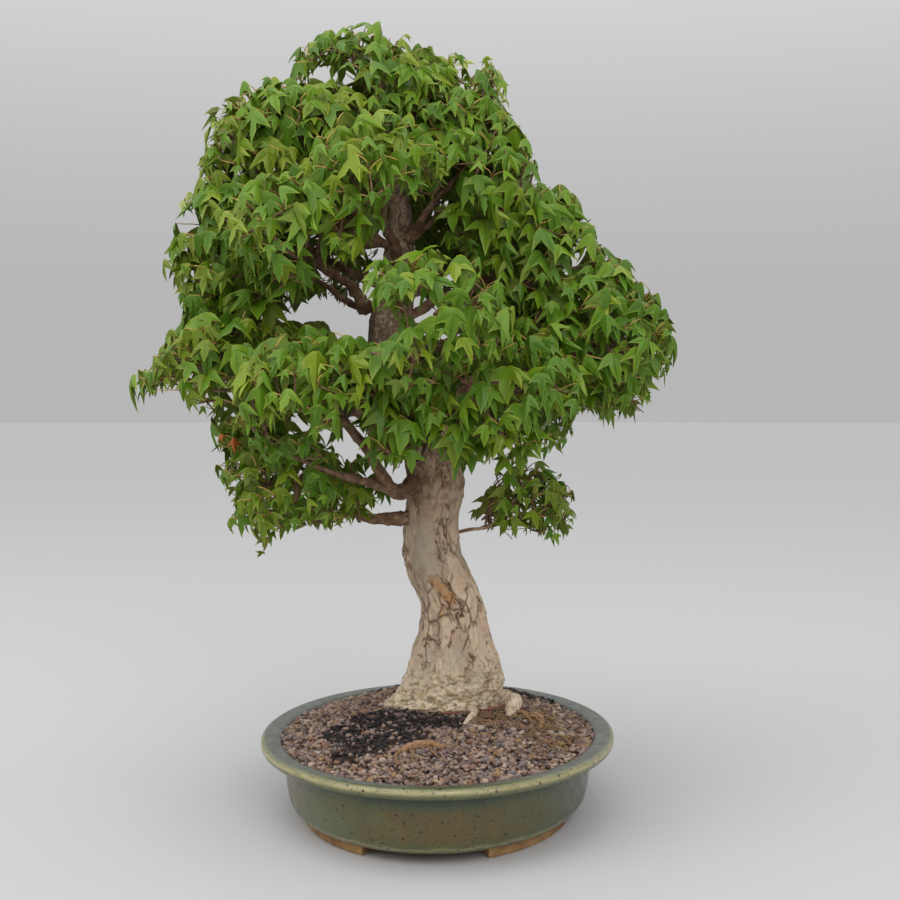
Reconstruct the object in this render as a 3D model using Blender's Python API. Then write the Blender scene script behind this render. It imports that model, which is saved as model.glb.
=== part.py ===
# A trident maple bonsai in an oval glazed pot, at its real size in metres, with +Z up.
# The origin is on the table, under the middle of the whole plant. The pot's long axis
# runs along Y, and the plant is seen from -Y.

import math
import random

import bmesh
import bpy
from mathutils import Vector
from mathutils.bvhtree import BVHTree

UP = Vector((0, 0, 1))
GAP = 0.0003  # between pieces that meet
LIMB_ROOM = 0.0015  # between a leaf or twig and any limb
CELL_ROOM = 0.0006  # between a leaf or twig and the space of the next mass

# The pot: each profile row is how far in from the rim's outline it lies, and its height.
POT_CENTRE = Vector((0.0335, -0.038, 0))
POT_HALF_WIDTH = 0.1754
POT_HALF_LENGTH = 0.225
POT_SIDES = 36
FOOT_HEIGHT = 0.009
UNDERSIDE = [(0.060, FOOT_HEIGHT), (0.0415, FOOT_HEIGHT)]
OUTER_WALL = [(0.0340, 0.0115), (0.0290, 0.0165), (0.0262, 0.027), (0.0225, 0.0625)]
LIP = [(0.0030, 0.0660), (0, 0.0700), (0.0006, 0.0750), (0.0045, 0.0771), (0.0165, 0.0763), (0.0212, 0.0725)]
INNER_WALL = [(0.0295, 0.0600), (0.0335, 0.032), (0.0430, 0.0185)]
FOOT_FROM, FOOT_TO = 22, 68  # degrees from the short axis, in each quarter
DRAIN_RADIUS = 0.011
DRAIN_OFFSET = 0.085

# The soil: level with the inside of the lip at the wall, mounded to a flat patch under the trunk.
SOIL_EDGE = 0.0722
SOIL_TOP = 0.0872
SOIL_FLAT_RADIUS = 0.076
MOUND_RINGS = 6
HEAP_HEIGHT = 0.0018  # of the low heaps that the mound's surface is made of
HEAP_AREA = 0.0003  # a face of the mound smaller than this, in square metres, stays flat
PROBE_STEP = 0.001  # to find how far the soil runs from the trunk

# The trunk: height of its middle line, x, y and radius.
TRUNK = [
    (SOIL_TOP + GAP, 0.036, 0.035, 0.0515),
    (0.098, 0.041, 0.034, 0.0490),
    (0.114, 0.0450, 0.033, 0.0478),
    (0.140, 0.0450, 0.032, 0.0435),
    (0.165, 0.0445, 0.031, 0.0364),
    (0.192, 0.0420, 0.031, 0.0322),
    (0.216, 0.0315, 0.031, 0.0338),
    (0.244, 0.0230, 0.030, 0.0306),
    (0.275, 0.0205, 0.027, 0.0292),
    (0.320, 0.0255, 0.020, 0.0308),
    (0.360, 0.0185, 0.016, 0.0292),
    (0.405, 0.0030, 0.015, 0.0278),
    (0.460, -0.0180, 0.018, 0.0248),
    (0.521, -0.0170, 0.022, 0.0188),
    (0.580, -0.0100, 0.023, 0.0130),
    (0.640, -0.0140, 0.020, 0.0088),
    (0.690, -0.0190, 0.017, 0.0052),
]
TRUNK_SIDES = 16
TRUNK_RINGS = 24
RING_SPACING = 1.25  # above 1, the rings stand closer together near the foot
TRUNK_WAVES = [(2, 14, 0.035), (3, -21, 0.030)]  # lobes round it, turn with height, share of the radius
FLARE_HEIGHT = 0.022
BUTTRESSES = [(200, 0.22), (250, 0.08), (345, 0.14), (30, 0.12), (90, 0.20), (145, 0.10)]  # degrees, swell
BUTTRESS_SPREAD = 20

# Surface roots on the soil: start and end (x, y), the bow between them as a share of their
# distance, and the radii at both ends.
ROOTS = {
    "root_knob": {"start": (0.080, 0.034), "end": (0.105, -0.034), "bow": -0.22, "radii": (0.0115, 0.0065)},
    "root_finger": {"start": (0.064, -0.006), "end": (0.060, -0.072), "bow": -0.10, "radii": (0.0062, 0.0022)},
    "root_curl": {"start": (0.123, -0.020), "end": (0.135, -0.062), "bow": -0.16, "radii": (0.0040, 0.0026)},
    "root_snag": {"start": (0.006, -0.162), "end": (0.046, -0.144), "bow": -0.20, "radii": (0.0032, 0.0044)},
}
ROOT_RINGS = 6
ROOT_SIDES = 7
ROOT_RISE = 0.75  # of its radius, how high its middle line lies over the soil
ROOT_TAPER = 0.4  # of its radius, lost at its two ends

# The foliage masses: centre, radius, what carries the bough, where on it (a height on the trunk,
# a share of the length on another bough), the bough's radius at its foot and how far it sags midway.
MASSES = {
    "top": {"at": (-0.051, 0.007, 0.712), "radius": 0.085, "from": None},
    "top_right": {"at": (0.040, 0.012, 0.690), "radius": 0.082, "from": "trunk", "where": 0.640, "thick": 0.0045},
    "upper_left": {
        "at": (-0.129, -0.018, 0.650),
        "radius": 0.086,
        "from": "trunk",
        "where": 0.570,
        "thick": 0.0060,
        "sag": 0.018,
    },
    "upper_right": {"at": (0.082, -0.015, 0.616), "radius": 0.083, "from": "trunk", "where": 0.565, "thick": 0.0060},
    "front_upper": {"at": (-0.016, -0.131, 0.605), "radius": 0.071, "from": "trunk", "where": 0.540, "thick": 0.0065},
    "back_top": {"at": (-0.022, 0.118, 0.672), "radius": 0.092, "from": "trunk", "where": 0.612, "thick": 0.0055},
    "left": {
        "at": (-0.156, -0.020, 0.553),
        "radius": 0.094,
        "from": "trunk",
        "where": 0.500,
        "thick": 0.0090,
        "sag": 0.010,
    },
    "right_upper": {"at": (0.140, -0.001, 0.546), "radius": 0.086, "from": "trunk", "where": 0.490, "thick": 0.0085},
    "front_mid_left": {"at": (-0.090, -0.146, 0.556), "radius": 0.070, "from": "left", "where": 0.32, "thick": 0.0055},
    "back_left": {"at": (-0.142, 0.142, 0.580), "radius": 0.096, "from": "trunk", "where": 0.520, "thick": 0.0075},
    "back_right": {"at": (0.078, 0.165, 0.573), "radius": 0.096, "from": "trunk", "where": 0.510, "thick": 0.0080},
    "front": {"at": (0.035, -0.182, 0.469), "radius": 0.076, "from": "trunk", "where": 0.435, "thick": 0.0085},
    "left_low": {"at": (-0.180, -0.032, 0.434), "radius": 0.097, "from": "trunk", "where": 0.412, "thick": 0.0095},
    "right": {"at": (0.188, -0.008, 0.459), "radius": 0.095, "from": "trunk", "where": 0.400, "thick": 0.0105},
    "front_right": {"at": (0.103, -0.124, 0.403), "radius": 0.071, "from": "right", "where": 0.36, "thick": 0.0060},
    "front_left": {
        "at": (-0.076, -0.145, 0.404),
        "radius": 0.078,
        "from": "trunk",
        "where": 0.335,
        "thick": 0.0105,
        "sag": 0.044,
    },
    "front_low": {"at": (0.028, -0.125, 0.376), "radius": 0.061, "from": "trunk", "where": 0.368, "thick": 0.0060},
    "back_low_left": {"at": (-0.155, 0.150, 0.416), "radius": 0.100, "from": "trunk", "where": 0.388, "thick": 0.0090},
    "back_low_right": {"at": (0.128, 0.162, 0.440), "radius": 0.100, "from": "trunk", "where": 0.375, "thick": 0.0085},
    "back_low": {"at": (-0.016, 0.182, 0.402), "radius": 0.092, "from": "trunk", "where": 0.352, "thick": 0.0080},
    "lower_left": {
        "at": (-0.108, -0.027, 0.313),
        "radius": 0.088,
        "from": "trunk",
        "where": 0.290,
        "thick": 0.0095,
        "sag": 0.012,
    },
    "low_right": {"at": (0.116, 0.067, 0.286), "radius": 0.058, "from": "trunk", "where": 0.256, "thick": 0.0040},
}
FLATNESS = 1.12  # how much wider than high a mass is
BOUGH_SIDES = 6
BOUGH_RINGS = 6
BOUGH_SWAY = 0.05  # of its length
BOUGH_TAPER = 1.2
LEAVING = (0.90, 0.25)  # how a bough heads off from its carrier: outward and up
ARRIVING = (0.95, 0.10)  # the same where it enters its mass
TIP_RADIUS = 0.0036
TIP_INSIDE = 0.58  # of the mass's radius, from its centre back to the bough's tip
TIP_BELOW = 0.22  # of the mass's radius, from its centre down to the bough's tip

# The foliage: leaves in opposite pairs, larger than life because there are fewer of them.
PAIRS = 9
TRIES = 3000
ENOUGH = 150  # free places to choose from
NODE_SHELL = (0.2, 0.96)  # of the mass's radius, where twig nodes may lie
LEAF_TURN = 0.7  # radians either way from outward that a pair of leaves faces
LEAF_FORWARD = (0.3, 0.7)
LEAF_SIDEWAYS = (0.5, 0.9)
LEAF_DROOP = 0.45
DROOP_BY_HEIGHT = 0.35  # leaves at the top of a mass hang more than those under it
DROOP_RANGE = (0.5, 1.5)
LEAF_TILT = (0.2, 0.6)
LEAF_ROLL = (0, 0.4)
LENGTH_RANGE = (0.88, 1.1)
LEAF_LENGTH = 0.78  # of the mass's radius
LEAF_RISE = 0.035  # the middle's height over the blade's flat underside, as a share of its length
LEAF_SINK = 0.0003  # past the middle of its twig
LEAF_OUTLINE = [(0, 0), (0.66, -0.47), (0.56, -0.17), (1, 0), (0.56, 0.17), (0.66, 0.47)]
LEAF_MIDDLE = 0.40
FLAT_ANGLE = 0.002  # radians between faces that the union split and that become one again
TWIG_SIDES = 3
TWIG_RADIUS = 0.0011
TWIG_TAPER = 0.9
TWIG_END = 0.0026  # how far a twig runs on past its leaves
TWIG_SINK = 0.0008  # how far back from that end the next twig starts
TWIG_SWELL = 0.42  # a twig's radius grows as this power of the pairs that it carries
STEM_LENGTH = 0.012
PATH_WEIGHT = 0.45  # how far a twig shuns a long way back to the stem
STEM_SHARE = 0.95  # of the bough's tip, at most
WELD = 0.000002


def make_material(name, color, roughness, metallic=0.0):
    material = bpy.data.materials.new(name)
    material.use_nodes = True
    shader = material.node_tree.nodes["Principled BSDF"]
    shader.inputs["Base Color"].default_value = (*color, 1)
    shader.inputs["Roughness"].default_value = roughness
    shader.inputs["Metallic"].default_value = metallic
    material.diffuse_color = (*color, 1)
    return material


def make_object(name, bm, material, smooth_angle=None):
    """Turns a bmesh into a named object and frees it."""
    bmesh.ops.recalc_face_normals(bm, faces=bm.faces)
    mesh = bpy.data.meshes.new(name)
    bm.to_mesh(mesh)
    bm.free()
    mesh.materials.append(material)
    if smooth_angle:
        mesh.shade_smooth()
        mesh.set_sharp_from_angle(angle=math.radians(smooth_angle))
    thing = bpy.data.objects.new(name, mesh)
    bpy.context.collection.objects.link(thing)
    return thing


def loft(bm, rings):
    """Joins rings of points with quads, closes both ends and returns the rows of faces."""
    rows = [[bm.verts.new(point) for point in ring] for ring in rings]
    faces = []
    for low, high in zip(rows, rows[1:]):
        count = len(low)
        faces.append([bm.faces.new((low[i], low[i - 1], high[i - 1], high[i])) for i in range(count)])
    bm.faces.new(rows[0])
    bm.faces.new(reversed(rows[-1]))
    return faces


def apply_boolean(target, operation, cutter=None, collection=None):
    boolean = target.modifiers.new("Boolean", "BOOLEAN")
    boolean.operation = operation
    boolean.solver = "EXACT"
    if collection:
        boolean.operand_type = "COLLECTION"
        boolean.collection = collection
    else:
        boolean.object = cutter
    with bpy.context.temp_override(object=target, active_object=target):
        bpy.ops.object.modifier_apply(modifier=boolean.name)


def cut_away(target, cutter):
    """Cuts one object out of another and removes the cutter."""
    apply_boolean(target, "DIFFERENCE", cutter=cutter)
    bpy.data.objects.remove(cutter)


def spline_at(rows, value):
    """The row at a value of the first column, on a smooth curve through all the rows."""
    last = len(rows) - 2
    i = next((k for k in range(last) if value < rows[k + 1][0]), last)
    a, b = rows[i], rows[i + 1]
    before = rows[i - 1] if i else a
    after = rows[i + 2] if i < last else b
    span = b[0] - a[0]
    t = (value - a[0]) / span
    result = []
    for k in range(1, len(a)):
        slope_a = (b[k] - before[k]) / (b[0] - before[0]) * span
        slope_b = (after[k] - a[k]) / (after[0] - a[0]) * span
        result.append(
            (2 * t**3 - 3 * t**2 + 1) * a[k]
            + (t**3 - 2 * t**2 + t) * slope_a
            + (3 * t**2 - 2 * t**3) * b[k]
            + (t**3 - t**2) * slope_b
        )
    return result


def pot_ring(inset, height):
    ring = []
    for i in range(POT_SIDES):
        angle = math.tau * i / POT_SIDES
        ring.append(
            POT_CENTRE
            + Vector(
                (
                    (POT_HALF_WIDTH - inset) * math.cos(angle),
                    (POT_HALF_LENGTH - inset) * math.sin(angle),
                    height,
                )
            )
        )
    return ring


def make_pot(material):
    bm = bmesh.new()
    profile = UNDERSIDE + OUTER_WALL + LIP + INNER_WALL
    underside = loft(bm, [pot_ring(*row) for row in profile])[0]
    feet = []
    for face in underside:
        offset = face.calc_center_median() - POT_CENTRE
        angle = math.degrees(math.atan2(abs(offset.y) / POT_HALF_LENGTH, abs(offset.x) / POT_HALF_WIDTH))
        if FOOT_FROM < angle < FOOT_TO:
            feet.append(face)
    grown = bmesh.ops.extrude_face_region(bm, geom=feet)["geom"]
    low = [item for item in grown if isinstance(item, bmesh.types.BMVert)]
    bmesh.ops.translate(bm, verts=low, vec=(0, 0, -FOOT_HEIGHT))
    bmesh.ops.delete(bm, geom=feet, context="FACES_ONLY")
    pot = make_object("pot", bm, material, 40)
    for side in (-1, 1):
        drain = bmesh.new()
        bmesh.ops.create_cone(
            drain,
            cap_ends=True,
            segments=12,
            radius1=DRAIN_RADIUS,
            radius2=DRAIN_RADIUS,
            depth=4 * FOOT_HEIGHT,
        )
        place = POT_CENTRE + Vector((0, side * DRAIN_OFFSET, FOOT_HEIGHT))
        bmesh.ops.translate(drain, verts=drain.verts, vec=place)
        cut_away(pot, make_object("drain_cutter", drain, material))
    return pot


def soil_mesh(raised=0.0):
    """The soil, with its top raised where it serves as a cutter."""
    foot = Vector((TRUNK[0][1], TRUNK[0][2], 0))
    side = [(inset + GAP, height) for inset, height in reversed(INNER_WALL)]
    side[0] = (side[0][0], side[0][1] + GAP)
    lip_inset, lip_height = LIP[-1]
    wall_inset, wall_height = INNER_WALL[0]
    share = (SOIL_EDGE - wall_height) / (lip_height - wall_height)
    edge_inset = wall_inset + share * (lip_inset - wall_inset) + GAP
    rings = [pot_ring(*row) for row in side] + [pot_ring(edge_inset, SOIL_EDGE + raised)]
    edge = rings[-1]
    for number in range(MOUND_RINGS):
        step = (number + 1) / MOUND_RINGS
        height = SOIL_EDGE + (SOIL_TOP - SOIL_EDGE) * math.sin(step * math.pi / 2) + raised
        ring = []
        for i, point in enumerate(edge):
            angle = math.tau * i / POT_SIDES
            inner = foot + SOIL_FLAT_RADIUS * Vector((math.cos(angle), math.sin(angle), 0))
            ring.append(Vector((*point.lerp(inner, step).xy, height)))
        rings.append(ring)
    bm = bmesh.new()
    mound = loft(bm, rings)[-MOUND_RINGS:]
    for face in [face for row in mound for face in row if face.calc_area() > HEAP_AREA]:
        middle = bmesh.ops.poke(bm, faces=[face])["verts"][0]
        middle.co.z += HEAP_HEIGHT
    return bm


def trunk_ring(height, extra=0.0):
    x, y, radius = spline_at(TRUNK, height)
    flare = math.exp(-(height - SOIL_TOP) / FLARE_HEIGHT)
    ring = []
    for i in range(TRUNK_SIDES):
        angle = math.tau * i / TRUNK_SIDES
        swell = sum(size * math.sin(lobes * angle + turn * height) for lobes, turn, size in TRUNK_WAVES)
        for heading, size in BUTTRESSES:
            turn = math.degrees(angle) - heading
            turn = (turn + 180) % 360 - 180
            swell += size * flare * math.exp(-((turn / BUTTRESS_SPREAD) ** 2))
        reach = radius * (1 + swell) + extra
        ring.append(Vector((x + reach * math.cos(angle), y + reach * math.sin(angle), height)))
    return ring


def trunk_mesh(extra=0.0):
    """The trunk, grown by a little where it serves as a cutter or marks off its room."""
    low, high = TRUNK[0][0], TRUNK[-1][0]
    bm = bmesh.new()
    rings = []
    for i in range(TRUNK_RINGS):
        share = i / (TRUNK_RINGS - 1)
        rings.append(trunk_ring(low + (high - low) * share**RING_SPACING, extra))
    if extra:
        rings.append([point + UP * extra for point in rings[-1]])
    loft(bm, rings)
    return bm


def tube_mesh(path, radii, sides, extra=0.0):
    """A tapering limb of a few sides along a path, with flat ends."""
    bm = bmesh.new()
    rings = []
    along = (path[1] - path[0]).normalized()
    across = along.cross(UP if abs(along.z) < 0.9 else Vector((1, 0, 0))).normalized()
    for i, point in enumerate(path):
        along = (path[min(i + 1, len(path) - 1)] - path[max(i - 1, 0)]).normalized()
        across = (across - along * across.dot(along)).normalized()
        other = along.cross(across)
        ring = []
        for k in range(sides):
            angle = math.tau * k / sides
            reach = radii[i] + extra
            ring.append(point + reach * (across * math.cos(angle) + other * math.sin(angle)))
        rings.append(ring)
    loft(bm, rings)
    return bm


def make_roots(material):
    for name, root in ROOTS.items():
        start, end = Vector((*root["start"], 0)), Vector((*root["end"], 0))
        path, radii = [], []
        for i in range(ROOT_RINGS):
            share = i / (ROOT_RINGS - 1)
            end_share = abs(2 * share - 1)
            radius = root["radii"][0] + share * (root["radii"][1] - root["radii"][0])
            point = start.lerp(end, share)
            point += (end - start).cross(UP) * root["bow"] * math.sin(share * math.pi)
            point.z = soil_height(point) + radius * (ROOT_RISE - end_share**3)
            path.append(point)
            radii.append(radius * (1 - ROOT_TAPER * end_share**4))
        thing = make_object(name, tube_mesh(path, radii, ROOT_SIDES), material, 60)
        cut_away(thing, make_object("soil_cutter", soil_mesh(GAP), material))
        cut_away(thing, make_object("trunk_cutter", trunk_mesh(GAP), material))


def soil_height(point):
    """The height of the soil's top under a point."""
    foot = Vector((TRUNK[0][1], TRUNK[0][2], 0))
    if (point - foot).xy.length < SOIL_FLAT_RADIUS:
        return SOIL_TOP
    away = (point.xy - foot.xy).normalized()
    flat_edge = foot.xy + away * SOIL_FLAT_RADIUS
    inset = LIP[-1][0]
    reach, beyond = 0, 0
    while beyond < 1:
        reach += PROBE_STEP
        probe = flat_edge + away * reach - POT_CENTRE.xy
        beyond = (probe.x / (POT_HALF_WIDTH - inset)) ** 2 + (probe.y / (POT_HALF_LENGTH - inset)) ** 2
    share = min(1, (point.xy - flat_edge).length / reach)
    return SOIL_EDGE + (SOIL_TOP - SOIL_EDGE) * math.sin((1 - share) * math.pi / 2)


def mass_distance(mass, point):
    """How far a point lies inside a mass's space, by the rule that shares space between masses."""
    offset = point - mass["at"]
    return offset.x**2 + offset.y**2 + (offset.z * FLATNESS) ** 2 - mass["radius"] ** 2


def inside_mass(name, point):
    """True if a point is in the mass's own outline and nearer to it than to any other mass."""
    own = mass_distance(MASSES[name], point)
    if own > 0:
        return False
    for other, mass in MASSES.items():
        if other == name:
            continue
        apart = 2 * (mass["at"] - MASSES[name]["at"]).length
        if mass_distance(mass, point) - own < apart * CELL_ROOM * FLATNESS:
            return False
    return True


def bough_path(name, rng, carrier_path):
    """A curved path from inside the carrier to where the bough enters its mass."""
    mass = MASSES[name]
    if mass["from"] == "trunk":
        x, y, _ = spline_at(TRUNK, mass["where"])
        start = Vector((x, y, mass["where"]))
    else:
        index = mass["where"] * (len(carrier_path) - 1)
        low = int(index)
        start = carrier_path[low].lerp(carrier_path[low + 1], index - low)
    way = Vector(((mass["at"] - start).x, (mass["at"] - start).y, 0)).normalized()
    tip = mass["at"] - way * TIP_INSIDE * mass["radius"] - UP * TIP_BELOW * mass["radius"]
    while not inside_mass(name, tip):
        tip = tip.lerp(mass["at"], 0.1)
    length = (tip - start).length
    first = start + (way * LEAVING[0] + UP * LEAVING[1]) * length / 3
    second = tip - (way * ARRIVING[0] + UP * ARRIVING[1]) * length / 3
    side = way.cross(UP)
    sway = rng.choice((-1, 1)) * BOUGH_SWAY * length
    path = []
    for i in range(BOUGH_RINGS):
        t = i / (BOUGH_RINGS - 1)
        point = (1 - t) ** 3 * start + 3 * (1 - t) ** 2 * t * first + 3 * (1 - t) * t**2 * second + t**3 * tip
        point += side * sway * math.sin(math.tau * t) * math.sin(math.pi * t)
        point += UP * 0.5 * sway * math.sin(1.5 * math.tau * t) * math.sin(math.pi * t)
        point -= UP * mass.get("sag", 0) * math.sin(math.pi * t)
        path.append(point)
    return path


def make_boughs(material):
    """Makes every bough and returns their paths and the rooms round all the limbs."""
    paths = {}
    rooms = {"trunk": room_of(trunk_mesh(LIMB_ROOM))}
    for number, (name, mass) in enumerate(MASSES.items()):
        if not mass["from"]:
            continue
        rng = random.Random(100 + number)
        path = bough_path(name, rng, paths.get(mass["from"]))
        radii = []
        for i in range(BOUGH_RINGS):
            share = i / (BOUGH_RINGS - 1)
            radii.append(TIP_RADIUS + (mass["thick"] - TIP_RADIUS) * (1 - share) ** BOUGH_TAPER)
        paths[name] = path
        bough = make_object("bough_" + name, tube_mesh(path, radii, BOUGH_SIDES), material, 60)
        cut_away(bough, make_object("trunk_cutter", trunk_mesh(GAP), material))
        if mass["from"] != "trunk":
            carrier = MASSES[mass["from"]]
            cutter = tube_mesh(paths[mass["from"]], carrier["radii"], BOUGH_SIDES, GAP)
            cut_away(bough, make_object("bough_cutter", cutter, material))
        mass["radii"] = radii
        rooms[name] = room_of(tube_mesh(path, radii, BOUGH_SIDES, LIMB_ROOM))
    return paths, rooms


def room_of(bm):
    """The room round a limb that leaves and twigs keep out of, as a tree of its faces."""
    room = BVHTree.FromBMesh(bm)
    bm.free()
    return room


def leaf_mesh(root, along, normal, length):
    """A three-lobed leaf: a flat underside and an upper side that rises to its middle."""
    across = normal.cross(along).normalized()
    lift = along.cross(across)
    origin = root - along * LEAF_SINK
    bm = bmesh.new()
    rim = [bm.verts.new(origin + length * (along * x + across * y)) for x, y in LEAF_OUTLINE]
    middle = bm.verts.new(origin + length * (along * LEAF_MIDDLE + lift * LEAF_RISE))
    for i in range(len(rim)):
        bm.faces.new((middle, rim[i - 1], rim[i]))
    bm.faces.new(rim)
    return bm


def is_free(bm, name, rooms):
    """True if every corner is in the mass's space and no face enters a limb's room."""
    if not all(inside_mass(name, vert.co) for vert in bm.verts):
        return False
    own = BVHTree.FromBMesh(bm)
    return not any(own.overlap(room) for room in rooms.values())


def leaf_pair(name, point, rng):
    """The two leaves at a twig's node: opposite each other, outward and drooping."""
    out = point - MASSES[name]["at"]
    heading = math.atan2(out.y, out.x) + rng.uniform(-LEAF_TURN, LEAF_TURN)
    forward = Vector((math.cos(heading), math.sin(heading), 0))
    side = forward.cross(UP)
    pair = []
    for turn in (-1, 1):
        along = forward * rng.uniform(*LEAF_FORWARD) + side * turn * rng.uniform(*LEAF_SIDEWAYS)
        droop = LEAF_DROOP + DROOP_BY_HEIGHT * out.z / MASSES[name]["radius"]
        along = (along - UP * droop * rng.uniform(*DROOP_RANGE)).normalized()
        normal = UP + forward * rng.uniform(*LEAF_TILT) + side * turn * rng.uniform(*LEAF_ROLL)
        length = LEAF_LENGTH * MASSES[name]["radius"] * rng.uniform(*LENGTH_RANGE)
        pair.append(leaf_mesh(point, along, normal, length))
    return pair


def middle(pair):
    """The middle of a pair's two leaves."""
    corners = [vert.co for leaf in pair for vert in leaf.verts]
    return sum(corners, Vector()) / len(corners)


def crosses(pair, others):
    """True if a leaf of the pair cuts through one of the other leaves."""
    trees = [BVHTree.FromBMesh(leaf) for leaf in pair]
    return any(tree.overlap(other) for tree in trees for other in others)


def choose_nodes(name, rng, rooms):
    """Twig nodes spread through a mass: of the free places, each time the one furthest from the rest."""
    mass = MASSES[name]
    found = []
    for _ in range(TRIES):
        while True:
            offset = Vector([rng.uniform(-1, 1) for _ in range(3)])
            if NODE_SHELL[0] < offset.length < NODE_SHELL[1]:
                break
        point = mass["at"] + mass["radius"] * Vector((offset.x, offset.y, offset.z / FLATNESS))
        if not inside_mass(name, point):
            continue
        pair = leaf_pair(name, point, rng)
        if all(is_free(leaf, name, rooms) for leaf in pair):
            found.append((point, pair))
        if len(found) == ENOUGH:
            break
    chosen, placed = [], []

    def spread(item):
        others = [middle(other[1]) for other in chosen] or [mass["at"]]
        return min((middle(item[1]) - other).length for other in others)

    while found and len(chosen) < PAIRS:
        best = max(found, key=spread)
        found.remove(best)
        if not crosses(best[1], placed):
            chosen.append(best)
            placed.extend(BVHTree.FromBMesh(leaf) for leaf in best[1])
    return chosen


def grow_twigs(start, heading, chosen, name, rooms):
    """Joins the nodes to the stem, each by the shortest twig that keeps its way back short too,
    round the leaves of other nodes where it can."""
    points = [start, start + heading * STEM_LENGTH]
    parents = [None, 0]
    ways = [0, STEM_LENGTH]
    pairs = [None, None]
    left = list(chosen)
    while left:
        options = []
        for node in left:
            for i in range(1, len(points)):
                distance = (node[0] - points[i]).length
                options.append((distance + PATH_WEIGHT * ways[i], distance, i, node))
        options.sort(key=lambda option: option[:3])
        if len(parents) == 2:
            options = options[: len(left)]
        trials = [(tidy, option) for tidy in (True, False) for option in options]
        for tidy, (_, distance, i, node) in trials:
            end = node[0] + (node[0] - points[i]).normalized() * TWIG_END
            twig = tube_mesh([points[i], end], [TWIG_RADIUS] * 2, TWIG_SIDES)
            free = is_free(twig, name, rooms)
            if free and tidy:
                ends = (node[1], pairs[i])
                others = [leaf for item in chosen if item[1] not in ends for leaf in item[1]]
                free = not crosses([twig], [BVHTree.FromBMesh(leaf) for leaf in others])
            twig.free()
            if free:
                points.append(end)
                parents.append(i)
                ways.append(ways[i] + distance)
                pairs.append(node[1])
                left.remove(node)
                break
        else:
            break
    return points, parents, pairs


def make_mass(name, start, heading, rooms, material, number):
    rng = random.Random(500 + number)
    chosen = choose_nodes(name, rng, rooms)
    points, parents, pairs = grow_twigs(start, heading, chosen, name, rooms)
    carried = [1] * len(points)
    for i in range(len(points) - 1, 0, -1):
        carried[parents[i]] += carried[i]
    radii = [TWIG_RADIUS * count**TWIG_SWELL for count in carried]
    stem_radius = min(radii[1], TIP_RADIUS * STEM_SHARE)
    mass = make_object("foliage_" + name, tube_mesh(points[:2], [stem_radius] * 2, TWIG_SIDES), material)
    others = bpy.data.collections.new("twigs_and_leaves")
    bpy.context.scene.collection.children.link(others)
    solids = []
    for i in range(2, len(points)):
        parent = parents[i]
        near = points[parent] - (points[parent] - points[parents[parent]]).normalized() * TWIG_SINK
        radius = min(radii[i], stem_radius) * TWIG_TAPER
        solids.append(tube_mesh([near, points[i]], [radius, radius * TWIG_TAPER], TWIG_SIDES))
        solids.extend(pairs[i])
    for bm in solids:
        thing = make_object("piece", bm, material)
        bpy.context.collection.objects.unlink(thing)
        others.objects.link(thing)
    apply_boolean(mass, "UNION", collection=others)
    for thing in list(others.objects):
        bpy.data.objects.remove(thing)
    bpy.data.collections.remove(others)
    keep_largest(mass)


def keep_largest(thing):
    """Drops loose scraps and the walls of sealed hollows, which the union can leave."""
    bm = bmesh.new()
    bm.from_mesh(thing.data)
    bmesh.ops.remove_doubles(bm, verts=bm.verts, dist=WELD)
    bmesh.ops.dissolve_limit(bm, angle_limit=FLAT_ANGLE, verts=bm.verts, edges=bm.edges)
    left = set(bm.faces)
    shells = []
    while left:
        shell, edge = [], [left.pop()]
        while edge:
            face = edge.pop()
            shell.append(face)
            near = {other for side in face.edges for other in side.link_faces} & left
            edge.extend(near)
            left -= near
        shells.append(shell)
    shells.sort(key=len)
    for shell in shells[:-1]:
        bmesh.ops.delete(bm, geom=shell, context="FACES")
    bm.to_mesh(thing.data)
    bm.free()


def main():
    for old in list(bpy.data.objects):
        bpy.data.objects.remove(old)

    glaze = make_material("celadon_glaze", (0.30, 0.36, 0.24), 0.3)
    grit = make_material("soil_grit", (0.13, 0.09, 0.075), 0.95)
    bark = make_material("bark", (0.50, 0.42, 0.33), 0.85)
    leaf = make_material("leaf_green", (0.09, 0.22, 0.035), 0.5)

    for mass in MASSES.values():
        mass["at"] = Vector(mass["at"])

    make_pot(glaze)
    make_object("soil", soil_mesh(), grit)
    make_object("trunk", trunk_mesh(), bark, 45)
    make_roots(bark)
    paths, rooms = make_boughs(bark)
    for number, name in enumerate(MASSES):
        if name in paths:
            path = paths[name]
            heading = (path[-1] - path[-2]).normalized()
            start = path[-1] + heading * GAP
        else:
            x, y, _ = spline_at(TRUNK, TRUNK[-1][0])
            heading = UP
            start = Vector((x, y, TRUNK[-1][0] + GAP))
        make_mass(name, start, heading, rooms, leaf, number)


main()
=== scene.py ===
# A trident maple bonsai in an oval glazed pot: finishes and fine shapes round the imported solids.
# Metres, +Z up. The pot's long axis runs along Y and the picture looks along +Y.
import math
import random

import bmesh
import bpy
import numpy as np
from mathutils import Matrix, Vector


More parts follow.
